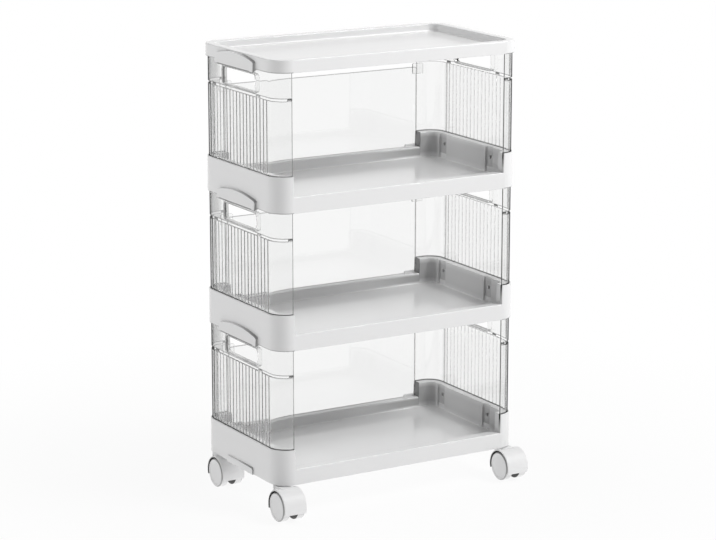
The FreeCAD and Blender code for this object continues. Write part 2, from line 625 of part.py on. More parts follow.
def caster(label, side, end):
    """A twin-wheel caster that swivels on its stem. Its zero is on the floor under the stem's axis."""
    x, y = stem_x * side, stem_y * end + set_back
    axle_y, axle_z = -cell["trail"], cell["wheel_radius"]
    hood_top = cell["base_level"] - cell["collar_thick"]
    half = cell["web_thick"] / 2 + cell["web_play"] + cell["wheel_thick"]
    axle_centre = (axle_y, axle_z)
    name = label + "_caster"

    # The hood: a drum round the wheels with a neck for the stem. A web stays between the wheels.
    drum = cylinder(name + "_drum", "x", axle_centre, hood_radius, -half, half)
    inside = hood_radius - cell["hood_thick"]
    web_half = cell["web_thick"] / 2
    neck_radius = cell["stem_radius"] + cell["boss_wall"] * 2
    neck_foot = hood_top - cell["stem_sink"]
    neck = cylinder(name + "_neck", "z", (0.0, 0.0), neck_radius, neck_foot, hood_top)
    bridge_half = neck_radius - cell["neck_step"]
    bridge = box(name + "_bridge", mirrored(bridge_half), (axle_y, size(0.0)), (neck_foot, hood_top))
    stem_foot = neck_foot + cell["hood_thick"]
    stem_bore = cell["stem_radius"] + cell["running_play"]
    foot_y = (axle_y - hood_radius - past, axle_y + hood_radius + past)
    tools = [
        cylinder(name + "_left_space", "x", axle_centre, inside, -half - past, -web_half),
        cylinder(name + "_right_space", "x", axle_centre, inside, web_half, half + past),
        box(name + "_open_foot", mirrored(half + past), foot_y, (-hood_radius, cell["hood_skirt"])),
        cylinder(name + "_stem_bore", "z", (0.0, 0.0), stem_bore, stem_foot, hood_top + past),
        cylinder(name + "_axle_bore", "x", axle_centre, cell["axle_radius"], -half, half),
    ]
    hood = fuse(name + "_hood_block", [drum, neck, bridge])
    for number, tool in enumerate(tools):
        hood = cut(f"{name}_hood_cut_{number}", hood, [tool])
    finish(hood, name + "_hood", x, y)

    # The stem, with its collar between the tray and the hood, and the grip ring that holds it in the tray.
    stem_z = (stem_foot, cell["base_level"] + cell["stem_rise"])
    pin = cylinder(name + "_pin", "z", (0.0, 0.0), cell["stem_radius"], *stem_z)
    collar_z = (hood_top, cell["base_level"])
    collar = cylinder(name + "_collar", "z", (0.0, 0.0), cell["collar_radius"], *collar_z)
    ring_foot = cell["base_level"] + cell["ring_rise"]
    ring_z = (ring_foot, ring_foot + cell["ring_height"])
    neck_in = cell["stem_radius"] - cell["ring_depth"]
    ring_seat = cut(name + "_ring_seat", cylinder(
        name + "_ring_seat_outer", "z", (0.0, 0.0), cell["stem_radius"] + past, *ring_z
    ), [cylinder(name + "_ring_seat_inner", "z", (0.0, 0.0), neck_in, ring_z[0] - past, ring_z[1] + past)])
    stem = cut(name + "_stem_turned", fuse(name + "_stem_collared", [pin, collar]), [ring_seat])
    finish(stem, name + "_stem", x, y)
    grip = cut(name + "_grip", cylinder(
        name + "_grip_outer", "z", (0.0, 0.0), cell["stem_radius"] + cell["ring_proud"], *ring_z
    ), [cylinder(name + "_grip_inner", "z", (0.0, 0.0), neck_in, ring_z[0] - past, ring_z[1] + past)])
    finish(grip, name + "_grip_ring", x, y)

    # The axle, pressed through the web, and a wheel on each of its ends.
    axle_half = half - cell["axle_cover"]
    axle = cylinder(name + "_axle_rod", "x", axle_centre, cell["axle_radius"], -axle_half, axle_half)
    finish(as_node(name + "_axle", axle), name + "_axle", x, y)
    for wheel_name, wheel_side in (("outer_wheel", side), ("inner_wheel", -side)):
        finish(wheel(f"{name}_{wheel_name}", wheel_side, axle_centre, half), f"{name}_{wheel_name}", x, y)


def wheel(name, side, axle_centre, half):
    """A caster wheel with rounded edges, a dished outer face and a blind bore for the axle."""
    near = cell["web_thick"] / 2 + cell["web_play"]
    disc = cylinder(name + "_disc", "x", axle_centre, cell["wheel_radius"], *span(side, near, half))
    tyre = rounded(name + "_tyre", disc, cell["wheel_round"], lambda edge: len(edge.Vertexes) == 1)
    dish_radius = cell["wheel_radius"] - cell["dish_rim"]
    dish_x = span(side, half - cell["dish_depth"], half + past)
    dish = cylinder(name + "_dish", "x", axle_centre, dish_radius, *dish_x)
    bore_x = span(side, near - past, half - cell["axle_cover"])
    bore = cylinder(name + "_bore", "x", axle_centre, cell["axle_radius"] + cell["running_play"], *bore_x)
    return cut(name + "_bored", tyre, [dish, bore])


corners = [
    ("front_left", -1, -1),
    ("front_right", 1, -1),
    ("rear_left", -1, 1),
    ("rear_right", 1, 1),
]

base_level = cell["base_level"]
cup_face = (cell["cup_bulge"], cell["cup_crest"], cell["cup_arch"])
top_cup = (cell["cup_width"], cell["cup_rise"], cell["cup_hang"], *cup_face)
shelf_cup = (cell["cup_width"], cell["cup_rise"], cell["shelf_cup_hang"], *cup_face)
foot_face = (cell["foot_bulge"], cell["foot_crest"], cell["foot_arch"])
foot_plate = (cell["foot_width"], cell["foot_rise"], size(0.0), *foot_face)

deep_tray("base_tray", base_level, foot_plate, seats=False, casters=True)
deep_tray("lower_shelf_tray", base_level + tier_pitch, shelf_cup, seats=True, casters=False)
deep_tray("upper_shelf_tray", base_level + tier_pitch * 2, shelf_cup, seats=True, casters=False)
shallow_tray("top_tray", base_level + tier_pitch * 3, top_cup)

for number, tier in enumerate(("bottom", "middle", "top")):
    tray_level = base_level + tier_pitch * number
    for side, hand in ((-1, "left"), (1, "right")):
        ribbed_panel(f"{tier}_{hand}_side_panel", side, tray_level + cell["tray_height"])
        handle_panel(f"{tier}_{hand}_handle_panel", side, tray_level + tier_pitch)
    back_panel(tier, tray_level)

for label, side, end in corners:
    caster(label, side, end)

doc.recompute()

# Every feature has to be sound, and every sub-part a valid solid, before anything is written.
faults = [item.Name for item in doc.Objects if "Invalid" in item.State or "Error" in item.State]
if faults:
    raise RuntimeError(f"features failed: {faults}")
for item in nodes:
    shape = item.Shape
    if shape.isNull() or not shape.isValid() or len(shape.Solids) != 1:
        raise RuntimeError(f"{item.Label} is not one valid solid: {len(shape.Solids)} solids")

os.makedirs("parts", exist_ok=True)
for item in nodes:
    item.Shape.exportStep(f"parts/{item.Label}.step")
    print(f"{item.Label}: {item.Shape.Volume / 1000:.1f} cm3")
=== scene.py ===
import json
import math

import bmesh
import bpy
import numpy as np
from mathutils import Matrix, Vector


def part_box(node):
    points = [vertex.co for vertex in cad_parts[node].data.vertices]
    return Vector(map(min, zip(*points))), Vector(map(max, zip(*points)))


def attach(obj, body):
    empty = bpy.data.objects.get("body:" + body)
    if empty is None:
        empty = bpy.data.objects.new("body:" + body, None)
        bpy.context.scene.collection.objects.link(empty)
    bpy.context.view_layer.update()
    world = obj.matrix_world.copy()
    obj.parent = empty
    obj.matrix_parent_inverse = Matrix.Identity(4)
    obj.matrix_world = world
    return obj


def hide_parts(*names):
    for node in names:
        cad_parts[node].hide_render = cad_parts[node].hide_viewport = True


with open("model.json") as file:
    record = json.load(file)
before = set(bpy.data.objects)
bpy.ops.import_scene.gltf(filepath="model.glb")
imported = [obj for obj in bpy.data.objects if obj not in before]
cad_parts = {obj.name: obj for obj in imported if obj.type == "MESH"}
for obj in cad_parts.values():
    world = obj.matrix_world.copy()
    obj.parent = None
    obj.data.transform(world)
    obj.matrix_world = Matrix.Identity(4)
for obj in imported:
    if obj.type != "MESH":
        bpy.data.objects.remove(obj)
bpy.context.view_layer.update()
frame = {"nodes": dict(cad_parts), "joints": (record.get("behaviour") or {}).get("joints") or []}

mm = 0.001

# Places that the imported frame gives, in millimetres.
baseLow, baseHigh = (np.array(corner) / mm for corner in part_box("base_tray"))
lowerHigh = np.array(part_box("lower_shelf_tray")[1]) / mm
setBack = (baseLow[1] + baseHigh[1]) / 2
baseLevel = baseLow[2]
tierPitch = lowerHigh[2] - baseHigh[2]
jointPlace = {joint["name"]: np.array(joint["pos_m"]) / mm for joint in frame["joints"]}
tiers = ["bottom", "middle", "top"]
casterNames = ["front_left", "front_right", "rear_left", "rear_right"]
print("frame loaded, tiers every", round(tierPitch, 2), "mm")

# Plan of the clear walls. The trays follow it at an offset.
# The clear sheets take painted shade at their ends, top and foot.
wallPlan = {"halfX": 200.0, "halfY": 111.0, "corner": 25.0, "thick": 2.5, "rearEnd": 163.0, "endNarrow": 0.68,
            "endShades": (1.0, 0.45), "topShade": 0.4, "footShade": 0.6}
leastStep = 0.06


# Smooth step from 0 to 1 as x passes edge, spread over soft.
def ramp(x, edge, soft):
    t = np.clip((x - edge) / soft + 0.5, 0.0, 1.0)
    return t * t * (3 - 2 * t)


# 1 between low and high, 0 outside, with soft edges.
def between(x, low, high, soft):
    return ramp(x, low, soft) * (1 - ramp(x, high, soft))


# Rounded rectangle by its own length: the core rectangle's point and the normal's angle both run straight
# between the ends of the flats, so a point is core + (corner + offset) * (cos, sin) of that angle.
flatX = wallPlan["halfX"] - wallPlan["corner"]
flatY = wallPlan["halfY"] - wallPlan["corner"]
quarter = math.pi / 2 * wallPlan["corner"]
planMarks = np.cumsum([0, flatX, quarter, 2 * flatY, quarter, 2 * flatX, quarter, 2 * flatY, quarter, flatX])
planLength = planMarks[-1]
frontEnd, rightMiddle = planMarks[1], planMarks[2] + flatY
rearMiddle, leftMiddle = planMarks[4] + flatX, planMarks[6] + flatY


# The core point and the normal at lengths s, read off between the marks.
def planAt(s):
    coreX = np.interp(s, planMarks, [0, flatX, flatX, flatX, flatX, -flatX, -flatX, -flatX, -flatX, 0])
    coreY = np.interp(s, planMarks, [-flatY, -flatY, -flatY, flatY, flatY, flatY, flatY, -flatY, -flatY, -flatY])
    angle = np.interp(s, planMarks, np.radians([-90, -90, 0, 0, 90, 90, 180, 180, 270, 270]))
    return coreX, coreY, np.cos(angle), np.sin(angle)


# Points at outward offsets from the clear walls' outer faces: one row of the grid for each station.
def planPoints(s, offset, z):
    coreX, coreY, cosine, sine = (value[:, None] for value in planAt(s))
    reach = wallPlan["corner"] + offset
    return np.stack([coreX + reach * cosine, coreY + reach * sine + setBack, z], -1)


# Places in order, without those that lie too close after another.
def spaced(places):
    places = np.unique(places)
    return places[np.concatenate([[True], np.diff(places) > leastStep])]


# Stations along a length: even steps, with more of them about each mark.
def stations(start, end, step, marks, spread):
    even = np.linspace(start, end, int((end - start) / step) + 1)
    close = (np.asarray(marks, float)[:, None] + np.asarray(spread, float)[None, :]).ravel()
    every = np.concatenate([even, close])
    return spaced(np.round(every[(every >= start - 1e-6) & (every <= end + 1e-6)], 3))


# Quads of a grid whose rows and columns may run round to their start.
def gridQuads(rows, columns, roundRows=False, roundColumns=False):
    i, j = np.meshgrid(np.arange(rows if roundRows else rows - 1),
                       np.arange(columns if roundColumns else columns - 1), indexing="ij")
    i2, j2 = (i + 1) % rows, (j + 1) % columns
    return np.stack([i * columns + j, i2 * columns + j, i2 * columns + j2, i * columns + j2], -1).reshape(-1, 4)


# A closed skin over a grid that runs round in its rows: a pole closes the first and the last column.
def skinWithPoles(points, firstPole, lastPole):
    rows, columns = points.shape[:2]
    flat = np.concatenate([points.reshape(-1, 3), [firstPole, lastPole]])
    faces = gridQuads(rows, columns, roundRows=True).tolist()
    i = np.arange(rows)
    i2 = (i + 1) % rows
    first, last = rows * columns, rows * columns + 1
    faces += np.stack([np.full(rows, first), i2 * columns, i * columns], -1).tolist()
    faces += np.stack([np.full(rows, last), i * columns + columns - 1, i2 * columns + columns - 1], -1).tolist()
    return flat, faces


# Joins skins into one set of points and faces.
def joined(skins):
    starts = np.cumsum([0] + [len(points) for points, faces in skins[:-1]])
    points = np.concatenate([points for points, faces in skins])
    faces = [[int(n) + int(start) for n in face] for start, skin in zip(starts, skins) for face in skin[1]]
    return points, faces


# Mirrors a skin to the left side, with its faces turned so that they still point outwards.
def onSide(side, points, faces):
    if side > 0:
        return points, faces
    return points * np.array([-1.0, 1.0, 1.0]), [list(face)[::-1] for face in faces]


# A finished piece from points in millimetres: smooth, sharp only at real corners, riding on its body.
def addPiece(name, points, faces, material, body, nodes, shading=None, bend=None, merge=0.0):
    mesh = bpy.data.meshes.new(name)
    mesh.from_pydata((np.asarray(points) * mm).tolist(), [], [list(map(int, face)) for face in faces])
    # The shade attribute carries mostly painted shade: at seams, in hollows, on inner faces and along the clear sheets'
    # edges.
    for key, values in (("paintedShade", shading), ("bend", bend)):
        if values is not None:
            mesh.attributes.new(key, "FLOAT", "POINT").data.foreach_set("value", np.asarray(values, np.float32))
    work = bmesh.new()
    work.from_mesh(mesh)
    if merge:
        bmesh.ops.remove_doubles(work, verts=work.verts, dist=merge * mm)
    bmesh.ops.recalc_face_normals(work, faces=work.faces)
    work.to_mesh(mesh)
    work.free()
    mesh.shade_smooth()
    mesh.set_sharp_from_angle(angle=math.radians(42))
    piece = bpy.data.objects.new(name, mesh)
    bpy.context.scene.collection.objects.link(piece)
    piece.modifiers.new("evenNormals", "WEIGHTED_NORMAL").keep_sharp = True
    mesh.materials.append(material)
    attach(piece, body)
    if nodes:
        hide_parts(*nodes)
    return piece


# A shader node with its properties, and its inputs set to values or linked to sockets.
def put(tree, kind, inputs=None, **properties):
    node = tree.nodes.new(kind)
    for key, value in properties.items():
        setattr(node, key, value)
    for key, value in (inputs or {}).items():
        if isinstance(value, bpy.types.NodeSocket):
            tree.links.new(value, node.inputs[key])
        else:
            node.inputs[key].default_value = value
    return node


# For each noise its scale, detail and roughness.
finishLook = {"Cloud": (9.0, 3.0, 0.55), "Streak": (30.0, 4.0, 0.6), "Grain": (2400.0, 2.0, 0.5)}


# Moulded finish: broad clouds of shade, flow streaks drawn out along X and a fine spark-eroded grain.
def mouldedFinishGroup(look):
    group = bpy.data.node_groups.new("mouldedFinish", "ShaderNodeTree")
    for name, (scale, detail, rough) in look.items():
        socket = group.interface.new_socket(name + " Scale", in_out="INPUT", socket_type="NodeSocketFloat")
        socket.default_value = scale
        group.interface.new_socket(name, in_out="OUTPUT", socket_type="NodeSocketFloat")
    source = put(group, "NodeGroupInput")
    place = put(group, "ShaderNodeTexCoord").outputs["Object"]
    along = put(group, "ShaderNodeMapping", {"Vector": place, "Scale": (0.25, 1.0, 1.0)}).outputs["Vector"]
    noises = {}
    for name, (scale, detail, rough) in look.items():
        noises[name] = put(group, "ShaderNodeTexNoise", {
            "Vector": along if name == "Streak" else place, "Scale": source.outputs[name + " Scale"],
            "Detail": detail, "Roughness": rough}).outputs["Fac"]
    put(group, "NodeGroupOutput", noises)
    return group


mouldedFinish = mouldedFinishGroup(finishLook)


# A new material and its node tree, still empty.
def newTree(name):
    material = bpy.data.materials.new(name)
    material.use_nodes = True
    material.node_tree.nodes.clear()
    return material, material.node_tree


# The colour between two others, by a factor from 0 to 1.
def mixedColour(tree, factor, first, second):
    mix = put(tree, "ShaderNodeMix", {"Factor": factor}, data_type="RGBA")
    for key, value in (("A", first), ("B", second)):
        socket = next(socket for socket in mix.inputs if socket.name == key and socket.type == "RGBA")
        socket.default_value = (*value, 1.0)
    return next(socket for socket in mix.outputs if socket.type == "RGBA")


# A roughness that runs from low to high as the flow streaks do from their lower to their upper part.
def streakGloss(tree, finish, low, high):
    return put(tree, "ShaderNodeMapRange", {
        "Value": finish.outputs["Streak"], "From Min": 0.3, "From Max": 0.7,
        "To Min": low, "To Max": high}).outputs["Result"]


# A maths node: the result of one operation on two values.
def reckon(tree, operation, first, second, clamp=False):
    return put(tree, "ShaderNodeMath", {0: first, 1: second}, operation=operation, use_clamp=clamp).outputs["Value"]


trayLook = {"light": (0.83, 0.83, 0.83), "dark": (0.79, 0.79, 0.795), "rough": (0.13, 0.16), "clouds": 9.0,
            "grain": 0.12, "depth": 0.05, "seam": 0.08, "ior": 1.48}
hoodLook = dict(trayLook, light=(0.87, 0.87, 0.87), dark=(0.84, 0.84, 0.845), rough=(0.45, 0.55), clouds=30.0)
wheelLook = dict(trayLook, dark=(0.78, 0.78, 0.785), rough=(0.38, 0.5), clouds=40.0, depth=0.08)
clearLook = {"clear": (0.925, 0.927, 0.925), "edge": (0.22, 0.22, 0.22), "steep": (0.48, 0.78), "flatShare": 0.15,
             "straight": -0.12, "rough": (0.0, 0.035), "ior": 1.49}
steelLook = {"colour": (0.6, 0.61, 0.63, 1.0), "streaks": 900.0, "rough": (0.2, 0.38), "marks": 0.15, "depth": 0.05}


# White moulded plastic: a shade that drifts a little, darker where the mesh's shade attribute marks it, mostly painted
# shade at seams, in hollows and on inner faces, a gloss that follows the flow streaks, a fine grain.
def whitePlastic(name, look):
    material, tree = newTree(name)
    finish = put(tree, "ShaderNodeGroup", node_tree=mouldedFinish)
    finish.inputs["Cloud Scale"].default_value = look["clouds"]
    drift = mixedColour(tree, finish.outputs["Cloud"], look["dark"], look["light"])
    shading = put(tree, "ShaderNodeAttribute", attribute_name="paintedShade")
    seam = put(tree, "ShaderNodeMapRange", {"Value": shading.outputs["Fac"], "To Min": 1.0, "To Max": look["seam"]})
    colour = put(tree, "ShaderNodeHueSaturation", {"Color": drift, "Value": seam.outputs["Result"]})
    bump = put(tree, "ShaderNodeBump", {
        "Height": finish.outputs["Grain"], "Strength": look["grain"], "Distance": look["depth"] * mm})
    shader = put(tree, "ShaderNodeBsdfPrincipled", {
        "Base Color": colour.outputs["Color"], "Roughness": streakGloss(tree, finish, *look["rough"]),
        "Normal": bump.outputs["Normal"], "IOR": look["ior"]})
    put(tree, "ShaderNodeOutputMaterial", {"Surface": shader.outputs["BSDF"]})
    return material


# Clear plastic: a real refracting sheet that lets light through to what stands behind it. It is greyer where the shade
# attribute marks edges, and where it is seen at a glance, most of all in the bends: painted shade for the dark lines
# that refraction shows at edges and silhouettes, and in part the longer way through; there it only takes light away and
# mirrors nothing. A shade below zero keeps the ribs clear, and lets some light straight through.
def clearPlastic(name, look):
    material, tree = newTree(name)
    finish = put(tree, "ShaderNodeGroup", node_tree=mouldedFinish)
    shading = put(tree, "ShaderNodeAttribute", attribute_name="paintedShade").outputs["Fac"]
    glance = put(tree, "ShaderNodeLayerWeight", {"Blend": 0.5})
    steep = put(tree, "ShaderNodeMapRange", {
        "Value": glance.outputs["Facing"], "From Min": look["steep"][0], "From Max": look["steep"][1]},
        interpolation_type="SMOOTHSTEP")
    bend = put(tree, "ShaderNodeMapRange", {
        "Value": put(tree, "ShaderNodeAttribute", attribute_name="bend").outputs["Fac"],
        "To Min": look["flatShare"], "To Max": 1.0})
    dark = reckon(tree, "MULTIPLY", steep.outputs["Result"], bend.outputs["Result"])
    shade = reckon(tree, "ADD", shading, dark, True)
    colour = mixedColour(tree, shade, look["clear"], look["edge"])
    shader = put(tree, "ShaderNodeBsdfPrincipled", {
        "Base Color": colour, "Roughness": streakGloss(tree, finish, *look["rough"]), "IOR": look["ior"],
        "Transmission Weight": 1.0})
    through = put(tree, "ShaderNodeBsdfTransparent", {"Color": colour})
    ray = put(tree, "ShaderNodeLightPath")
    either = reckon(tree, "MAXIMUM", ray.outputs["Is Shadow Ray"], ray.outputs["Is Diffuse Ray"])
    straight = reckon(tree, "MAXIMUM", reckon(tree, "MULTIPLY", shading, look["straight"]), shade)
    mixed = put(tree, "ShaderNodeMixShader", {
        "Fac": reckon(tree, "MAXIMUM", either, straight), 1: shader.outputs["BSDF"], 2: through.outputs["BSDF"]})
    put(tree, "ShaderNodeOutputMaterial", {"Surface": mixed.outputs["Shader"]})
    return material


# Turned steel: fine rings of tool marks across a bright metal.
def turnedSteel(name, look):
    material, tree = newTree(name)
    finish = put(tree, "ShaderNodeGroup", node_tree=mouldedFinish)
    finish.inputs["Streak Scale"].default_value = look["streaks"]
    bump = put(tree, "ShaderNodeBump", {
        "Height": finish.outputs["Streak"], "Strength": look["marks"], "Distance": look["depth"] * mm})
    shader = put(tree, "ShaderNodeBsdfPrincipled", {
        "Base Color": look["colour"], "Metallic": 1.0, "Roughness": streakGloss(tree, finish, *look["rough"]),
        "Normal": bump.outputs["Normal"]})
    put(tree, "ShaderNodeOutputMaterial", {"Surface": shader.outputs["BSDF"]})
    return material


trayWhite = whitePlastic("trayWhite", trayLook)
hoodWhite = whitePlastic("hoodWhite", hoodLook)
wheelWhite = whitePlastic("wheelWhite", wheelLook)
clearWall = clearPlastic("clearWall", clearLook)
bareSteel = turnedSteel("bareSteel", steelLook)
print("materials ready")

deepTray = {
    "height": 52.0, "over": 2.3, "wall": 16.0, "skin": 2.0, "floor": 14.0, "floorThick": 2.5, "roof": 21.5,
    "frontLip": 23.5, "backLip": 29.5, "rimRound": 1.2, "floorRound": 1.5, "draft": 0.5,
    "channels": (-56.0, 70.0), "channelHalf": 10.0, "channelDepth": 3.0, "snapRadius": 2.5, "snapHeight": 36.0,
    "snapDepth": 4.0, "faceLevels": (44.0, 28.0, 22.0), "groove": 8.0, "backGroove": 6.0, "stopAt": 150.0,
    "stopHalf": 8.5, "stopHeight": 4.0, "stopThick": 3.0, "innerShade": 0.15, "lipShade": 0.5,
}
shallowTray = dict(
    deepTray, height=18.5, over=3.0, wall=13.0, floor=7.5, roof=16.5, frontLip=18.5, backLip=18.5, rimRound=1.6,
    floorRound=2.5, channelDepth=0.0, groove=0.0, backGroove=0.0, stopHeight=0.0, innerShade=0.0, lipShade=0.0)
# Painted shade at the seams and, as shares of the inner faces' painted shade, on the inner faces.
trayShade = {
    "hungEdge": 0.8, "hungFoot": 0.6, "slitFoot": 0.8, "slit": 0.75, "slitShort": 9.0, "turned": 0.12,
    "turnedFront": 0.6, "grooveEdge": 0.9, "cutEnd": 0.8, "corner": 0.9, "rightCorner": 1.1, "cornerSoft": 12.0,
    "channel": 1.3, "lipFrom": 105.0, "lipSoft": 120.0,
}
topCup = {"half": 56.5, "rise": 17.0, "hang": 5.0, "bulge": 5.0, "crest": 3.6, "arch": 240.0, "corner": 2.5}
shelfCup = dict(topCup, hang=3.0)
footPlate = {"half": 39.0, "rise": 10.0, "hang": 0.0, "bulge": 2.5, "crest": 2.2, "arch": 1500.0, "corner": 3.5}


# A tray: its wall's section, as offsets and heights, is carried round the plan. The section's height drops at the
# lips, its inner face steps out at the channels, and its outer face leans out in the cup under the arch.
def traySkin(tray, cup, level):
    marks = [frontEnd, planLength - frontEnd, rearMiddle - wallPlan["rearEnd"], rearMiddle + wallPlan["rearEnd"]]
    # Along the right side the plan runs towards the back, along the left side towards the front.
    turns = {rightMiddle: 1, leftMiddle: -1}
    for middle, turn in turns.items():
        marks += [middle + end * (cup["half"] - cup["corner"] * part) for end in (-1, 1) for part in (0, 0.25, 0.6, 1)]
        marks += [middle + turn * (y + end * tray["channelHalf"]) for y in tray["channels"] for end in (-1, 1)]
    marks += [rearMiddle + sign * tray["stopAt"] + side * tray["stopHalf"] for sign in (-1, 1) for side in (-1, 1)]
    snaps = [middle + turn * y for middle, turn in turns.items() for y in tray["channels"]]
    aboutSnap = np.linspace(-3, 3, 13)
    s = stations(0.0, planLength - 1.5, 3.0, marks, [-1.6, -0.9, -0.5, -0.25, 0.0, 0.25, 0.5, 0.9, 1.6])
    s = spaced(np.concatenate([s, stations(0.0, planLength - 1.5, 300.0, snaps, aboutSnap)]))
    coreX, coreY, cosine, sine = planAt(s)
    depth = coreY + wallPlan["corner"] * sine
    y = np.abs(depth)
    flatSide = (np.abs(cosine) > 0.9999).astype(float)
    frontOpen = 1 - ramp(np.minimum(s, planLength - s), frontEnd - 0.4, 0.8)
    fromRear = np.abs(s - rearMiddle)
    rearOpen = 1 - ramp(fromRear, wallPlan["rearEnd"] - 0.4, 0.8)
    height, floor = tray["height"], tray["floor"]
    top = height - frontOpen * (height - tray["frontLip"]) - rearOpen * (height - tray["backLip"])
    groove = tray["groove"] * (1 - frontOpen) * (1 - rearOpen) + tray["backGroove"] * rearOpen
    stop = tray["stopHeight"] * rearOpen * between(
        fromRear, tray["stopAt"] - tray["stopHalf"], tray["stopAt"] + tray["stopHalf"], 0.5)
    channel = tray["channelDepth"] * flatSide * sum(
        between(depth, at - tray["channelHalf"], at + tray["channelHalf"], 0.5) for at in tray["channels"])
    archZ = cup["rise"] - cup["arch"] + np.sqrt(cup["arch"] ** 2 - np.minimum(y, cup["half"]) ** 2)
    intoCorner = np.clip(y - cup["half"] + cup["corner"], 0.0, cup["corner"])
    archZ = archZ - cup["corner"] + np.sqrt(cup["corner"] ** 2 - intoCorner ** 2)
    cupOn = flatSide * ramp(cup["half"] - y, 0.0, 1.0)
    foot = -cup["hang"] * cupOn

    # How far the cup stands out at a height: it leans from its bulge at the foot to its crest at the arch.
    def bulge(z):
        lean = cup["crest"] + (cup["bulge"] - cup["crest"]) * (cup["rise"] - z) / (cup["rise"] + cup["hang"])
        return cupOn * ramp(archZ - z, 0.0, 0.9) * np.clip(lean, 0.0, None)

    rows = []
    walled = (1 - frontOpen) * (1 - rearOpen) * (tray["groove"] > 0)
    cupEdge = 4 * cupOn * (1 - cupOn)
    # Under a tray that hangs on clear walls, its lower edge meets them all along, with a painted shade line there.
    hung = tray["hung"] * (1 - frontOpen) * (1 - rearOpen)

    # One more row of the section: its offset, height and shade at every station.
    def row(offset, z, shade=0.0):
        rows.append((offset + 0.0 * s, z + 0.0 * s, shade + 0.0 * s))

    outer, inner = tray["over"], tray["over"] - tray["wall"]
    under = floor - tray["floorThick"]
    rimLow = top - tray["rimRound"]
    cupLevels = [foot + 0.5, foot + 1.7, foot + 2.2]
    cupLevels += [foot + 2.8 + (archZ - 0.8 - foot - 2.8) * part for part in np.linspace(0, 1, 12)]
    cupLevels.append(archZ - 0.45)
    # The shadow line under a cup stops short of its ends.
    slit = cupOn * (cup["hang"] > 0) * ramp(cup["half"] - trayShade["slitShort"] - y, 0.0, 1.0)
    # The step round a cup turns from the light at its front end.
    frontShare = ramp(-depth, 0.25 * cup["half"], 1.5 * cup["half"])
    turned = trayShade["turned"] + trayShade["turnedFront"] * frontShare
    overArch = np.minimum(archZ + 0.45, rimLow)
    row(inner + tray["skin"], under)
    row(inner + tray["skin"], tray["roof"])
    row(outer - tray["skin"], tray["roof"])
    row(outer - tray["skin"], np.minimum(archZ + 0.45, tray["roof"] - 0.2))
    for z in cupLevels[::-1]:
        row(outer - tray["skin"] + bulge(z), z)
    row(outer - tray["skin"] + 0.4 + bulge(foot), foot)
    row(outer - 0.5 + bulge(foot), foot, trayShade["hungEdge"] * hung)
    levelShade = {0: np.maximum(trayShade["hungFoot"] * hung, trayShade["slitFoot"] * slit),
                  1: trayShade["slit"] * slit, len(cupLevels) - 1: turned * cupOn}
    for number, z in enumerate(cupLevels):
        row(outer + bulge(z), z, np.maximum(turned * cupEdge, levelShade.get(number, 0.0)))
    row(outer, overArch, turned * cupOn)
    row(outer, np.minimum(overArch + 0.7, rimLow))
    for part in (0.33, 0.67):
        row(outer, overArch + (rimLow - overArch) * part)
    for turn in np.radians(np.linspace(0, 90, 6)):
        row(outer - tray["rimRound"] * (1 - math.cos(turn)), rimLow + tray["rimRound"] * math.sin(turn))
    notch = np.minimum(groove, 0.2)
    slotOut, slotIn = 0.15, -wallPlan["thick"] - 0.15
    # Painted shade lines on both lips of the groove that holds the clear wall.
    row(slotOut + 0.2, top, trayShade["grooveEdge"] * walled)
    row(slotOut, top - notch, walled)
    row(slotOut, top - groove, walled)
    row(slotIn, top - groove, walled)
    row(slotIn, top - notch + stop, walled)
    row(slotIn - 0.2, top + stop, trayShade["grooveEdge"] * walled)
    row(slotIn - 0.9, top + stop)
    stopFace = slotIn - tray["stopThick"]
    row(stopFace + 0.2, top + stop)
    row(stopFace, top + stop - np.minimum(stop, 0.2))
    row(stopFace - 0.02, top)
    face = inner + channel
    # Painted shade on the inner faces, most towards the right rear corner and in the channels; on the back lip's inner
    # face it grows towards the right.
    rearCorner = between(fromRear, wallPlan["rearEnd"] - 4.0, flatX + quarter, trayShade["cornerSoft"])
    rearCorner = rearCorner * (trayShade["corner"] + trayShade["rightCorner"] * (coreX > 0))
    innerShade = tray["innerShade"] * (1 + rearCorner + trayShade["channel"] * (channel > 0.1))
    lipShade = tray["lipShade"] * ramp(coreX, trayShade["lipFrom"], trayShade["lipSoft"])
    innerShade = np.where(rearOpen > 0.5, lipShade, innerShade)
    for turn in np.radians(np.linspace(90, 180, 6)):
        row(face + tray["rimRound"] * (1 + math.cos(turn)), rimLow + tray["rimRound"] * math.sin(turn))
    # The inner face, with levels close together where the snap holes are.
    low, span = floor + tray["floorRound"], height - tray["rimRound"] - floor - tray["floorRound"]
    above, *below = tray["faceLevels"]
    snapLevels = tray["snapHeight"] + aboutSnap[::-1]
    faceLevels = np.concatenate([[above], snapLevels, below]) if tray["channelDepth"] else np.array([])
    along = np.min(np.abs(s[:, None] - np.array(snaps)[None, :]), axis=1)
    for level01 in (faceLevels - low) / span:
        z = low + (rimLow - low) * level01
        away = np.hypot(along, low + span * level01 - tray["snapHeight"])
        pit = tray["snapDepth"] * ramp(tray["snapRadius"] - away, 0.0, 0.45) * (channel > 0.99 * tray["channelDepth"])
        row(face - tray["draft"] * (1 - level01) + pit, z, innerShade)
    for turn in np.radians(np.linspace(0, 90, 6)):
        row(face - tray["draft"] - tray["floorRound"] * (1 - math.cos(turn)), low - tray["floorRound"] * math.sin(turn))
    offsets, heights, shades = (np.stack(values, 1) for values in zip(*rows))
    # The cut ends of the high walls beside the rear opening lie in shadow.
    cutEnd = between(fromRear, wallPlan["rearEnd"] - 1.0, wallPlan["rearEnd"] + 0.3, 0.2) * (tray["groove"] > 0)
    shades = np.maximum(shades, trayShade["cutEnd"] * cutEnd[:, None] * (heights > tray["backLip"] - 1.0))
    points = planPoints(s, offsets, heights + level)
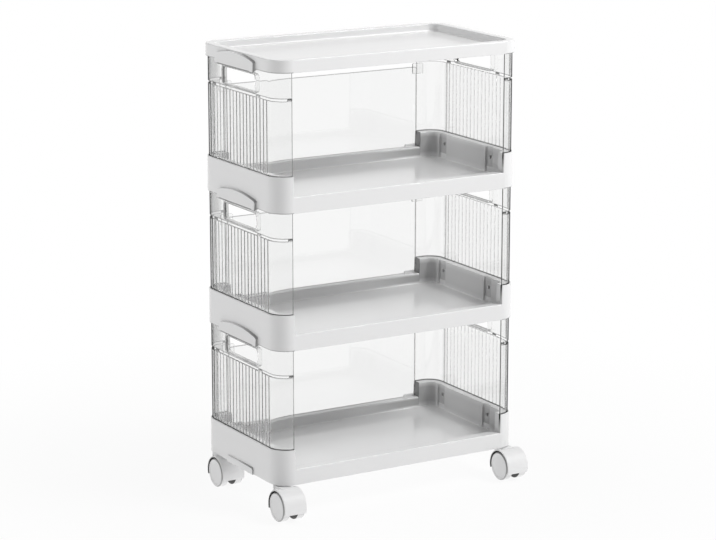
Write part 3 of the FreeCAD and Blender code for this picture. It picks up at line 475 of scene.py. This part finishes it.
    # The floor and its underside run straight in to the middle.
    middle = np.array([0.0, setBack, 0.0])
    shrink = np.array([0.97, 0.85, 0.6, 0.3])[None, :, None]
    flatten = np.array([1.0, 1.0, 0.0])
    inwards = middle + (points[:, -1:] - middle) * flatten * shrink + points[:, -1:] * np.array([0, 0, 1.0])
    outwards = middle + (points[:, :1] - middle) * flatten * shrink[:, ::-1] + points[:, :1] * np.array([0, 0, 1.0])
    grid = np.concatenate([outwards, points, inwards], 1)
    plain = np.zeros((len(s), 4))
    shades = np.concatenate([np.concatenate([plain, shades, plain], 1).ravel(), [0.0, 0.0]])
    points, faces = skinWithPoles(grid, middle + [0, 0, under + level], middle + [0, 0, floor + level])
    return points, faces, shades


# A round form: a profile of places along X or Z and radii, turned about that axis through centre, with closed ends.
def turnedSkin(profile, centre, axis, count):
    profile = np.asarray(profile, float)
    angles = np.linspace(0, 2 * math.pi, count, endpoint=False)[:, None]
    run, reach = profile[None, 1:-1, 0], profile[None, 1:-1, 1]
    points = np.stack([run + 0.0 * angles, reach * np.cos(angles), reach * np.sin(angles)], -1)
    poles = profile[[0, -1], :1] * [1.0, 0.0, 0.0]
    if axis == "z":
        points, poles = points[..., [1, 2, 0]], poles[:, [1, 2, 0]]
    return skinWithPoles(points + centre, *(poles + centre))


trayLevels = {name: baseLevel + tierPitch * n for n, name in enumerate(
    ["base_tray", "lower_shelf_tray", "upper_shelf_tray", "top_tray"])}
trayCups = {"base_tray": footPlate, "top_tray": topCup}
# The socket that takes a caster's stem: heights and radii.
stemSocket = [(0, 0), (0, 4.3), (0, 7.3), (0.5, 7.8), (12.5, 7.8), (12.5, 0)]
for name, level in trayLevels.items():
    tray = dict(shallowTray if name == "top_tray" else deepTray, hung=float(name != "base_tray"))
    *skin, shades = traySkin(tray, trayCups.get(name, shelfCup), level)
    skins = [skin]
    if name == "base_tray":
        for caster in casterNames:
            stem = jointPlace[caster + "_swivel"] * [1, 1, 0] + [0, 0, level]
            skins.append(turnedSkin(stemSocket, stem, "z", 40))
    points, faces = joined(skins)
    shades = np.concatenate([shades, np.zeros(len(points) - len(shades))])
    addPiece(name + "_moulding", points, faces, trayWhite, "cart", [name], shades)
print("trays moulded")

ribbedWall = {
    "foot": -8.0, "top": 105.5, "ribs": 18, "ribPitch": 9.8, "ribRadius": 1.6, "ribProud": 1.2, "ribStart": 1.3,
    "lugs": (-57.0, 75.0), "lugWidth": 7.0, "lugRise": 3.5, "edge": 0.4, "topShade": 0.3, "seamTint": 0.5,
    "postShade": 0.6, "ribShade": {1: 0.18, -1: -0.5}, "flatShade": {1: 0.05, -1: 0.0},
    "lugShade": {1: (0.95, 0.95, 0.9, 0.9), -1: (0.5, 0.7, 0.9, 0.9)},
}
wallStart, wallEnd = frontEnd, planMarks[4] + flatX - wallPlan["rearEnd"]


# A sheet that stands on the plan: its section, a thin upright loop, runs along the stations, and a flat end closes
# each end. Offsets and heights have one row for each station.
def sheetSkin(s, offsets, heights, shading, capStart=True, capEnd=True):
    points = planPoints(s, offsets, heights)
    rows, columns = points.shape[:2]
    faces = gridQuads(rows, columns, roundColumns=True).tolist()
    if capStart:
        faces.append(list(range(columns)))
    if capEnd:
        faces.append(list(range((rows - 1) * columns, rows * columns))[::-1])
    return points.reshape(-1, 3), faces, shading.ravel()


# Section of a clear sheet between two heights: up the outer face, over the top edge, down the inner face and back,
# with painted shade on the top edge and the foot.
def sheetSection(levels, low, high, edge, count):
    thick = wallPlan["thick"]
    loop = [(0.0, z, 0.0) for z in levels]
    loop += [(offset, high, wallPlan["topShade"]) for offset in (-edge, edge - thick)]
    loop += [(-thick, z, 0.0) for z in levels[::-1]]
    loop += [(offset, low, wallPlan["footShade"]) for offset in (edge - thick, -edge)]
    return [np.stack([value + np.zeros(count) for value in values], 1) for values in zip(*loop)]


# Rounds off an end of a clear sheet: its section draws in to the sheet's middle and takes the end's painted shade.
def closeEnd(offsets, shading, end):
    middle = -wallPlan["thick"] / 2
    offsets[end] = middle + (offsets[end] - middle) * wallPlan["endNarrow"]
    shading[end] = wallPlan["endShades"][end]


# The ribbed wall: half-round ribs stand out of its side, and lugs rise from its top edge across the seam.
def ribbedSkin(wall, rim, side):
    ribY = wall["ribPitch"] * (np.arange(wall["ribs"]) - (wall["ribs"] - 1) / 2)
    half = math.sqrt(wall["ribRadius"] ** 2 - (wall["ribRadius"] - wall["ribProud"]) ** 2)
    lugEnds = [rightMiddle + y + end * wall["lugWidth"] / 2 for y in wall["lugs"] for end in (-1, 1)]
    lugEnds += [wallStart + wall["lugWidth"], wallEnd - wall["lugWidth"]]
    s = stations(wallStart, wallEnd, 3.0, rightMiddle + ribY, half * np.array(
        [-1.3, -1.0, -0.94, -0.8, -0.55, -0.28, 0, 0.28, 0.55, 0.8, 0.94, 1.0, 1.3]))
    s = spaced(np.concatenate([s, stations(wallStart, wallEnd, 400.0, lugEnds, [-0.3, 0.3]),
                               [wallStart + 0.4, wallEnd - 0.4]]))
    away = np.min(np.abs(s[:, None] - rightMiddle - ribY[None, :]), axis=1)
    rib = np.sqrt(np.clip(wall["ribRadius"] ** 2 - away ** 2, 0, None)) - (wall["ribRadius"] - wall["ribProud"])
    rib = np.clip(rib, 0.0, None)
    # Painted shade on the lugs' tops: darker on the right wall, lighter on the left wall's inner lugs.
    lug, lugDark = np.zeros(len(s)), np.zeros(len(s))
    lugSpans = ((lugEnds[0], lugEnds[1]), (lugEnds[2], lugEnds[3]), (0.0, lugEnds[4]), (lugEnds[5], 9999.0))
    for (start, end), dark in zip(lugSpans, wall["lugShade"][side]):
        lug = np.maximum(lug, between(s, start, end, 0.6))
        lugDark = np.maximum(lugDark, dark * between(s, start, end, 0.6))
    high = wall["top"] + wall["lugRise"] * lug
    edge = wall["edge"]
    levels = [wall["foot"] + edge, 0.0, wall["ribStart"] - 0.4, wall["ribStart"] + 0.4, 20.0, 60.0, 95.0,
              wall["top"] - edge - 0.9, high - edge]
    offsets, heights, shading = sheetSection(levels, wall["foot"], high, edge, len(s))
    outerCount = len(levels)
    grown = ramp(heights[:, :outerCount], wall["ribStart"], 0.8) * rib[:, None]
    offsets[:, :outerCount] += grown
    offsets[:, outerCount] += rib
    # Painted shade that differs by side: the right wall's ribs and flats are greyer, the left wall's ribs clearer.
    onFlat = wall["flatShade"][side] * (np.abs(s - rightMiddle) < flatY)
    shading[:, 3:outerCount] += np.where(away < 1.3 * half, wall["ribShade"][side], onFlat)[:, None]
    shading[:, outerCount - 1] = wall["topShade"]
    lugShade = lugDark[:, None] * (heights > wall["top"] - 1.0)
    shading = np.where(lugShade > 0.02, np.maximum(shading, lugShade), shading)
    # Painted shade: a dark line where the wall stands in its groove, and one on each side of the post under the rear
    # lug.
    shading = np.where(between(heights, -0.2, wall["ribStart"] - 0.3, 0.3) > 0.5, wall["seamTint"], shading)
    post = np.minimum(np.abs(s - lugEnds[2]), np.abs(s - lugEnds[3])) < 0.35
    shading = np.where(post[:, None], np.maximum(shading, wall["postShade"]), shading)
    for end in (0, -1):
        closeEnd(offsets, shading, end)
    return sheetSkin(s, offsets, heights + rim, shading)


handleWall = {
    "foot": -36.0, "top": 14.0, "edge": 0.4, "holeHalf": (49.0, 12.25), "holeMiddle": -21.25, "holeCorner": 5.0,
    "flange": 2.0, "flangeDepth": 8.5, "centreHalf": 62.0, "paintedShade": 0.6,
    "rearShade": {1: 0.0, -1: 0.2}, "sillShade": {1: 0.9, -1: 0.5}, "lintelShade": 0.3, "frontShade": 0.1,
    "aroundSill": 0.25, "aroundLintel": 0.22,
}


# The handle wall: a plain sheet at both ends, and between them a flat part whose grid runs round the hand hole, from
# the sheet's outline over the outer face, in through the hole, over the flange and back over the inner face.
def handleSkin(wall, level, side):
    edge, thick = wall["edge"], wallPlan["thick"]
    rearShade = wall["rearShade"][side]
    low, high = wall["foot"], wall["top"]
    levels = np.array([low + edge, low + 1.3, -31.0, -26.0, -21.0, -16.0, -10.0, -4.0, 4.0, 10.0, high - edge])
    skins, shadings = [], []
    for start, end in ((wallStart, rightMiddle - wall["centreHalf"]), (rightMiddle + wall["centreHalf"], wallEnd)):
        s = stations(start, end, 3.0, [start, end], [0.0])
        outerEnd = 0 if start == wallStart else -1
        s = np.sort(np.append(s, s[outerEnd] + (0.4 if outerEnd == 0 else -0.4)))
        offsets, heights, shading = sheetSection(list(levels), low, high, edge, len(s))
        # Painted shade along the sheet's top and bottom edges, and towards the rear end on the left wall only.
        shading[:, [0, len(levels) - 1, len(levels) + 2, 2 * len(levels) + 1]] = wall["paintedShade"]
        behind = between(s, rightMiddle + wall["centreHalf"] - 4.0, planMarks[4], 6.0)
        shading = np.maximum(shading, rearShade * behind[:, None])
        closeEnd(offsets, shading, outerEnd)
        points, faces, shading = sheetSkin(s, offsets, heights + level, shading, outerEnd == 0, outerEnd == -1)
        skins.append((points, faces))
        shadings.append(shading)
    # The outline of the flat part, run round once, and the same places on the hole.
    across = np.linspace(-wall["centreHalf"], wall["centreHalf"], 43)
    lowSide, highSide = levels[0], levels[-1]
    ringU = np.concatenate([across, np.full(len(levels) - 2, across[-1]), across[::-1],
                            np.full(len(levels) - 2, across[0])])
    ringZ = np.concatenate([np.full(len(across), lowSide), levels[1:-1], np.full(len(across), highSide),
                            levels[1:-1][::-1]])
    ringMiddle, ringHalf = (lowSide + highSide) / 2, (highSide - lowSide) / 2

    # The hole's outline grown by a margin: the sheet's outline scaled down, with its corners drawn on to arcs.
    def holeRing(margin):
        halfU, halfV = wall["holeHalf"][0] + margin, wall["holeHalf"][1] + margin
        corner = wall["holeCorner"] + margin
        u, v = ringU / wall["centreHalf"] * halfU, (ringZ - ringMiddle) / ringHalf * halfV
        overU, overV = np.abs(u) - (halfU - corner), np.abs(v) - (halfV - corner)
        inCorner = (overU > 0) & (overV > 0)
        length = np.where(inCorner, np.hypot(overU, overV), 1.0)
        u = np.where(inCorner, np.sign(u) * (halfU - corner + overU / length * corner), u)
        v = np.where(inCorner, np.sign(v) * (halfV - corner + overV / length * corner), v)
        return u, v + wall["holeMiddle"]

    columns = []
    rim = wall["flange"]
    # Painted shade round the hand hole: most at the rear end and the sill, less at the lintel, hardly any at the front
    # end.
    onSill = (ringZ == lowSide) & (np.abs(ringU) < 0.97 * wall["centreHalf"])
    onRear = ringU > 0.98 * wall["centreHalf"]
    onLintel = ringZ == highSide
    sideShades = [1.0, wall["sillShade"][side], wall["lintelShade"]]
    weight = np.select([onRear, onSill, onLintel], sideShades, wall["frontShade"])
    around = np.maximum(wall["aroundSill"] * onSill, wall["aroundLintel"] * onLintel)
    plain = np.maximum(around, rearShade * onRear)
    # Each ring: its margin round the hole, its share of the way to the outline, its offset and its shade.
    for margin, part, offset, shade in (
        (0.4, 1.0, 0.0, plain), (0.4, 0.6, 0.0, plain), (0.4, 0.25, 0.0, around),
        (0.4, 0.06, 0.0, around), (0.4, 0.0, 0.0, np.where(onRear, 0.3, 0.9 * weight)),
        (0.0, 0.0, -0.4, np.where(onRear, 0.3, 0.9 * weight)), (0.0, 0.0, -1.4, np.where(onRear, 0.4, 0.5 * weight)),
        (0.0, 0.0, -2.0, np.where(onRear, 1.0, 0.4 * weight)), (0.0, 0.0, -4.2, np.where(onRear, 1.0, 0.3 * weight)),
        (0.0, 0.0, -4.8, 0.2 * weight), (0.0, 0.0, -wall["flangeDepth"] + 0.8, 0.2 * weight),
        (0.0, 0.0, -wall["flangeDepth"] + 0.4, 0.4 * weight), (0.4, 0.0, -wall["flangeDepth"], 0.4 * weight),
        (rim - 0.4, 0.0, -wall["flangeDepth"], 0.4 * weight), (rim, 0.0, -wall["flangeDepth"] + 0.4, 0.4 * weight),
        (rim, 0.0, -thick - 0.4, 0.2 * weight), (rim + 0.4, 0.0, -thick, 0.2 * weight),
        (rim + 0.4, 0.08, -thick, 0.0), (rim + 0.4, 0.5, -thick, 0.0), (rim + 0.4, 1.0, -thick, 0.0),
    ):
        u, z = holeRing(margin)
        u, z = u + (ringU - u) * part, z + (ringZ - z) * part
        onEdge = (part == 1.0) * ((ringZ == lowSide) | onLintel)
        columns.append((u, offset + 0 * u, z, np.maximum(shade, wall["paintedShade"] * onEdge)))
    u, offsets, z, shading = (np.stack(values, 1) for values in zip(*columns))
    points = np.stack([wallPlan["halfX"] + offsets, u + setBack, z + level], -1)
    skins.append((points.reshape(-1, 3), gridQuads(*points.shape[:2], roundRows=True).tolist()))
    shadings.append(shading.ravel())
    # Top and bottom edges of the flat part.
    for places in (((0.0, highSide), (-edge, high), (edge - thick, high), (-thick, highSide)),
                   ((-thick, lowSide), (edge - thick, low), (-edge, low), (0.0, lowSide))):
        strip = np.stack([np.stack([wallPlan["halfX"] + d + 0 * across, across + setBack, z + level + 0 * across], -1)
                          for d, z in places], 1)
        skins.append((strip.reshape(-1, 3), gridQuads(*strip.shape[:2]).tolist()))
        shadings.append(np.full(strip.shape[0] * strip.shape[1], wall["paintedShade"]))
    points, faces = joined(skins)
    return points, faces, np.concatenate(shadings)


# A flat sheet with rounded corners and edges: its outline is drawn in from each face to that face's middle.
def slabSkin(low, high, corner, edge, edgeShade):
    low, high = np.asarray(low, float), np.asarray(high, float)
    middle, half = (low + high) / 2, (high - low) / 2
    angles = np.radians(np.linspace(0, 360, 48, endpoint=False) + 3.75)
    rows, shading = [], []
    for inset, y, shade in ((edge + 1.0, low[1], 0.0), (edge, low[1], 1.0), (0.0, low[1] + edge, 1.0),
                            (0.0, high[1] - edge, 1.0), (edge, high[1], 1.0), (edge + 1.0, high[1], 0.0)):
        reach = max(corner - inset, 0.05)
        x = np.sign(np.cos(angles)) * (half[0] - corner) + reach * np.cos(angles)
        z = np.sign(np.sin(angles)) * (half[2] - corner) + reach * np.sin(angles)
        rows.append(np.stack([middle[0] + x, y + 0 * x, middle[2] + z], -1))
        shading.append(shade + 0 * x)
    grid = np.stack(rows, 1)
    points, faces = skinWithPoles(grid, middle * [1, 0, 1] + [0, low[1], 0], middle * [1, 0, 1] + [0, high[1], 0])
    return points, faces, edgeShade * np.concatenate([np.stack(shading, 1).ravel(), [0.0, 0.0]])


# Painted shade along the edges of the back sheets and, faintly, of the clips.
backSheet = {"half": 162.6, "foot": 23.5, "belowNext": 46.5, "corner": 3.0, "edge": 0.4, "edgeShade": 0.55}
backClip = {"inner": 154.6, "outer": 173.0, "rise": 5.5, "height": 16.0, "corner": 2.0, "gap": 0.05, "edgeShade": 0.05}
for number, tier in enumerate(tiers):
    trayLevel = baseLevel + tierPitch * number
    backY = wallPlan["halfY"] - wallPlan["thick"] + setBack
    sheetTop = trayLevel + tierPitch - backSheet["belowNext"]
    sheet = slabSkin((-backSheet["half"], backY, trayLevel + backSheet["foot"]),
                     (backSheet["half"], backY + wallPlan["thick"], sheetTop),
                     backSheet["corner"], backSheet["edge"], backSheet["edgeShade"])
    parts = [("back_panel", 1, sheet)]
    clipTop = sheetTop + backClip["rise"]
    clip = slabSkin((backClip["inner"], backY - wallPlan["thick"] - backClip["gap"], clipTop - backClip["height"]),
                    (backClip["outer"], backY - backClip["gap"], clipTop),
                    backClip["corner"], backSheet["edge"], backClip["edgeShade"])
    for side, hand in ((-1, "left"), (1, "right")):
        ribbed = ribbedSkin(ribbedWall, trayLevel + deepTray["height"], side)
        handle = handleSkin(handleWall, trayLevel + tierPitch, side)
        parts += [(f"{hand}_side_panel", side, ribbed), (f"{hand}_handle_panel", side, handle),
                  (f"{hand}_back_clip", side, clip)]
    for part, side, (points, faces, shading) in parts:
        node = f"{tier}_{part}"
        points, faces = onSide(side, points, faces)
        # The bends are what lies past the ends of both flats.
        bend = ramp(np.abs(points[:, 0]), flatX + 2.0, 4.0) * ramp(np.abs(points[:, 1] - setBack), flatY + 2.0, 4.0)
        addPiece(node + "_sheet", points, faces, clearWall, "cart", [node], shading, bend, 0.01)
print("clear walls and backs ready")

casterForm = {
    "wheelRadius": 21.0, "wheelIn": 6.0, "wheelOut": 18.0, "wheelRound": 1.8, "dishRim": 3.0, "dishDepth": 0.8,
    "bore": 3.05, "boreEnd": 15.1, "hoodIn": 23.0, "hoodOut": 25.0, "hoodHalf": 18.0, "skirt": 14.0,
    "webHalf": 5.5, "neckRadius": 10.0, "neckFoot": 26.5, "neckTop": 46.5, "trail": 21.5, "rimDarkening": 0.5,
}


# A wheel's profile: dished outer face, rim, round edge, tread, round edge, inner face and the blind bore.
def wheelProfile(form):
    radius, bend = form["wheelRadius"], form["wheelRound"]
    dishRadius = radius - form["dishRim"]
    face = form["wheelOut"]
    profile = [(face - form["dishDepth"], 0.0), (face - form["dishDepth"], dishRadius - 1.2),
               (face - form["dishDepth"] + 0.15, dishRadius - 0.5), (face - 0.12, dishRadius + 0.1),
               (face, dishRadius + 0.7)]
    for turn in np.radians(np.linspace(0, 90, 7)):
        profile.append((face - bend + bend * math.cos(turn), radius - bend + bend * math.sin(turn)))
    for turn in np.radians(np.linspace(90, 180, 7)):
        profile.append((form["wheelIn"] + bend + bend * math.cos(turn), radius - bend + bend * math.sin(turn)))
    profile += [(form["wheelIn"], form["bore"] + 0.4), (form["wheelIn"] + 0.4, form["bore"]),
                (form["boreEnd"], form["bore"]), (form["boreEnd"], 0.0)]
    return profile


# The hood's shell: a thin round-edged strip across the caster, turned about the axle from skirt to skirt.
def hoodShell(form, axle):
    inside, outside, half = form["hoodIn"], form["hoodOut"], form["hoodHalf"]
    middle, bend = (inside + outside) / 2, (outside - inside) / 2
    turnEnd = np.radians(np.linspace(90, -90, 9))
    right = [(half - bend + bend * math.cos(t), middle + bend * math.sin(t)) for t in turnEnd]
    left = [(-x, r) for x, r in right[::-1]]
    crown = [(x, outside) for x in np.linspace(-half + 3, half - 3, 7)]
    floorIn = [(x, inside) for x in np.linspace(half - 3, -half + 3, 7)]
    loop = np.array(crown + right + floorIn + left)
    dip = math.asin((axle[2] - form["skirt"]) / middle)
    angles = np.linspace(-dip, math.pi + dip, 73)[:, None]
    points = np.stack([loop[None, :, 0] + 0 * angles, loop[None, :, 1] * np.cos(angles),
                       loop[None, :, 1] * np.sin(angles)], -1) + axle
    rows, columns = points.shape[:2]
    faces = gridQuads(rows, columns, roundColumns=True).tolist()
    faces += [list(range(columns)), list(range((rows - 1) * columns, rows * columns))[::-1]]
    return points.reshape(-1, 3), faces


# The web between the wheels: a thick plate whose outline is the shell's circle, cut straight at the skirt.
def hoodWeb(form, axle):
    radius = form["hoodIn"] + 0.5
    dip = math.asin((axle[2] - form["skirt"]) / radius)
    angles = np.linspace(-dip, math.pi + dip, 61)
    outline = np.stack([radius * np.cos(angles), radius * np.sin(angles)], -1)
    rows = []
    for x, part in ((-form["webHalf"], 0.985), (-form["webHalf"] + 0.3, 1.0), (form["webHalf"] - 0.3, 1.0),
                    (form["webHalf"], 0.985)):
        rows.append(np.stack([x + 0 * angles, outline[:, 0] * part, outline[:, 1] * part], -1))
    grid = np.stack(rows, 1) + axle
    low, high = (axle + [side * form["webHalf"], 0, 4.0] for side in (-1, 1))
    return skinWithPoles(grid, low, high)


# The neck: a round post about the stem with a straight bridge forward to the shell's crest. Its plan is a round
# back and a straight front, and at each height the front stops at the shell's outer circle.
def hoodNeck(form, axle, stem):
    sideCount, frontCount, roundTop = 11, 12, 1.2
    turn = np.linspace(-math.pi / 2, math.pi / 2, 33)
    backX, backY = form["neckRadius"] * np.sin(turn), form["neckRadius"] * np.cos(turn)
    forward = np.linspace(0, 1, sideCount + 1)[1:]
    sideX = form["neckRadius"] - 1.0
    frontX = np.linspace(sideX, -sideX, frontCount + 2)[1:-1]
    planX = np.concatenate([backX, np.full(sideCount, sideX), frontX, np.full(sideCount, -sideX)])[:, None]
    share = np.concatenate([0 * backX, forward, np.ones(frontCount), forward[::-1]])[:, None]
    planY = np.concatenate([backY, np.zeros(2 * sideCount + frontCount)])[:, None]
    top, foot = form["neckTop"], form["neckFoot"]
    levels = np.concatenate([np.linspace(foot, top - roundTop, 22), [top - 0.7, top - 0.3, top - 0.08, top]])[None, :]
    draw = 1 - 0.05 * np.clip((levels - top + roundTop) / roundTop, 0, 1) ** 2
    circle = form["hoodOut"] - 0.6
    shell = np.sqrt(circle ** 2 - np.clip(levels - axle[2], 0.0, circle) ** 2) - form["trail"]
    y = planY * draw + share * shell
    points = np.stack([planX * draw, y, levels + 0 * y], -1) + stem * [1, 1, 0]
    return skinWithPoles(points, points[:, 0].mean(0), points[:, -1].mean(0))


profile = wheelProfile(casterForm)
for caster in casterNames:
    stem = jointPlace[caster + "_swivel"]
    axle = jointPlace[caster + "_outer_wheel_spin"]
    side = 1 if stem[0] > 0 else -1
    points, faces = joined([hoodShell(casterForm, axle), hoodWeb(casterForm, axle), hoodNeck(casterForm, axle, stem)])
    # Painted shade inside the hood: the closer to the axle, the darker.
    reach = np.hypot(points[:, 1] - axle[1], points[:, 2] - axle[2])
    shades = 1 - ramp(reach, casterForm["hoodIn"] + 0.6, 0.8)
    addPiece(caster + "_hood_moulding", points, faces, hoodWhite, caster + "_swivel_body",
             [caster + "_caster_hood"], shades)
    for wheel, facing in (("outer_wheel", side), ("inner_wheel", -side)):
        points, faces = turnedSkin(profile, np.zeros(3), "x", 96)
        # Painted shade on the inner face, where the two wheels face each other under the hood; the round edge of the
        # outer face is darker too.
        rimEdge = np.hypot(points[:, 1], points[:, 2]) > casterForm["wheelRadius"] - 0.75 * casterForm["wheelRound"]
        shades = np.where(points[:, 0] < casterForm["wheelIn"] + 0.6, 1.0,
                          casterForm["rimDarkening"] * rimEdge
                          * (points[:, 0] > casterForm["wheelOut"] - casterForm["wheelRound"]))
        points, faces = onSide(facing, points, faces)
        addPiece(f"{caster}_{wheel}_moulding", points + axle, faces, wheelWhite, f"{caster}_{wheel}_body",
                 [f"{caster}_caster_{wheel}"], shades)
    for steel in ("stem", "axle", "grip_ring"):
        node = frame["nodes"][f"{caster}_caster_{steel}"]
        node.data.materials.clear()
        node.data.materials.append(bareSteel)
print("casters ready")

# Camera: the photograph's view, level in roll, with the picture's middle on its axis.
cameraPlace = {"yaw": -30.649, "pitch": 13.209, "focal": 2583.952, "imageWidth": 716.0, "sensor": 36.0,
               "eye": (-1885.25, -3174.07, 1137.08), "clipEnd": 60.0}
yaw, pitch = math.radians(cameraPlace["yaw"]), math.radians(cameraPlace["pitch"])
rightWay = Vector((math.cos(yaw), math.sin(yaw), 0.0))
backWay = Vector((math.sin(yaw) * math.cos(pitch), -math.cos(yaw) * math.cos(pitch), math.sin(pitch)))
upWay = backWay.cross(rightWay)
eye = (Vector(cameraPlace["eye"]) + Vector((0.0, setBack, baseLevel))) * mm
lens = bpy.data.cameras.new("photoCamera")
lens.sensor_width = cameraPlace["sensor"]
lens.lens = cameraPlace["focal"] / cameraPlace["imageWidth"] * cameraPlace["sensor"]
lens.clip_end = cameraPlace["clipEnd"]
camera = bpy.data.objects.new("photoCamera", lens)
camera.matrix_world = Matrix((
    (rightWay.x, upWay.x, backWay.x, eye.x),
    (rightWay.y, upWay.y, backWay.y, eye.y),
    (rightWay.z, upWay.z, backWay.z, eye.z),
    (0.0, 0.0, 0.0, 1.0),
))
bpy.context.scene.collection.objects.link(camera)
bpy.context.scene.camera = camera

# Stage: a pale floor that stays white to the camera and keeps the soft shadow.
stageLook = {"floorHalf": 12.0, "floorShade": 0.86, "floorGlow": 0.92, "near": 0.3, "far": 0.9, "fill": 0.1,
             "bounce": 1.12}


# 1 for the rays that bring white to the picture: camera, glossy and transmission rays. 0 for the others.
def whiteRays(tree):
    ray = put(tree, "ShaderNodeLightPath")
    seen = reckon(tree, "MAXIMUM", ray.outputs["Is Camera Ray"], ray.outputs["Is Glossy Ray"])
    return reckon(tree, "MAXIMUM", seen, ray.outputs["Is Transmission Ray"])


floorMesh = bpy.data.meshes.new("studioFloor")
half = stageLook["floorHalf"]
floorMesh.from_pydata([(-half, -half, 0), (half, -half, 0), (half, half, 0), (-half, half, 0)], [], [(0, 1, 2, 3)])
studioFloor = bpy.data.objects.new("studioFloor", floorMesh)
bpy.context.scene.collection.objects.link(studioFloor)
floorMaterial, tree = newTree("studioFloor")
matt = put(tree, "ShaderNodeBsdfDiffuse", {"Color": (stageLook["floorShade"],) * 3 + (1.0,)})
strength = put(tree, "ShaderNodeMapRange", {"Value": whiteRays(tree), "To Min": stageLook["bounce"], "To Max": 1.0})
glow = put(tree, "ShaderNodeEmission", {"Color": (1.0, 1.0, 1.0, 1.0), "Strength": strength.outputs["Result"]})
away = put(tree, "ShaderNodeVectorMath", {0: put(tree, "ShaderNodeTexCoord").outputs["Object"]}, operation="LENGTH")
whiter = put(tree, "ShaderNodeMapRange", {
    "Value": away.outputs["Value"], "From Min": stageLook["near"], "From Max": stageLook["far"],
    "To Min": stageLook["floorGlow"], "To Max": 1.0})
both = put(tree, "ShaderNodeMixShader", {
    "Fac": whiter.outputs["Result"], 1: matt.outputs["BSDF"], 2: glow.outputs["Emission"]})
put(tree, "ShaderNodeOutputMaterial", {"Surface": both.outputs["Shader"]})
floorMesh.materials.append(floorMaterial)

world = bpy.data.worlds.new("studioWorld")
world.use_nodes = True
tree = world.node_tree
tree.nodes.clear()
strength = put(tree, "ShaderNodeMapRange", {"Value": whiteRays(tree), "To Min": stageLook["fill"], "To Max": 1.0})
sky = put(tree, "ShaderNodeBackground", {"Color": (1.0, 1.0, 1.0, 1.0), "Strength": strength.outputs["Result"]})
put(tree, "ShaderNodeOutputWorld", {"Surface": sky.outputs["Background"]})
bpy.context.scene.world = world

# Soft lamps, high enough that the tray above keeps them off the inner walls. They stand right in front and left
# behind, so that the near corner between the two lit sides is darker.
lamps = {
    "rightFront": {"at": (1.66, -1.75, 2.56), "aim": (0, 0, 0.35), "size": 1.5, "power": 80.0},
    "leftRear": {"at": (-2.1, 1.57, 2.19), "aim": (0, 0, 0.35), "size": 1.5, "power": 28.5},
    "overhead": {"at": (0.1, 0.0, 2.6), "aim": (0.1, 0.01, 0.35), "size": 1.5, "power": 8.0},
}
for name, lamp in lamps.items():
    data = bpy.data.lights.new(name, "AREA")
    data.shape, data.size, data.energy = "SQUARE", lamp["size"], lamp["power"]
    holder = bpy.data.objects.new(name, data)
    holder.location = lamp["at"]
    holder.rotation_euler = (Vector(lamp["aim"]) - Vector(lamp["at"])).to_track_quat("-Z", "Y").to_euler()
    bpy.context.scene.collection.objects.link(holder)
bpy.context.scene.view_settings.view_transform = "Standard"
print("camera, stage and lamps ready")
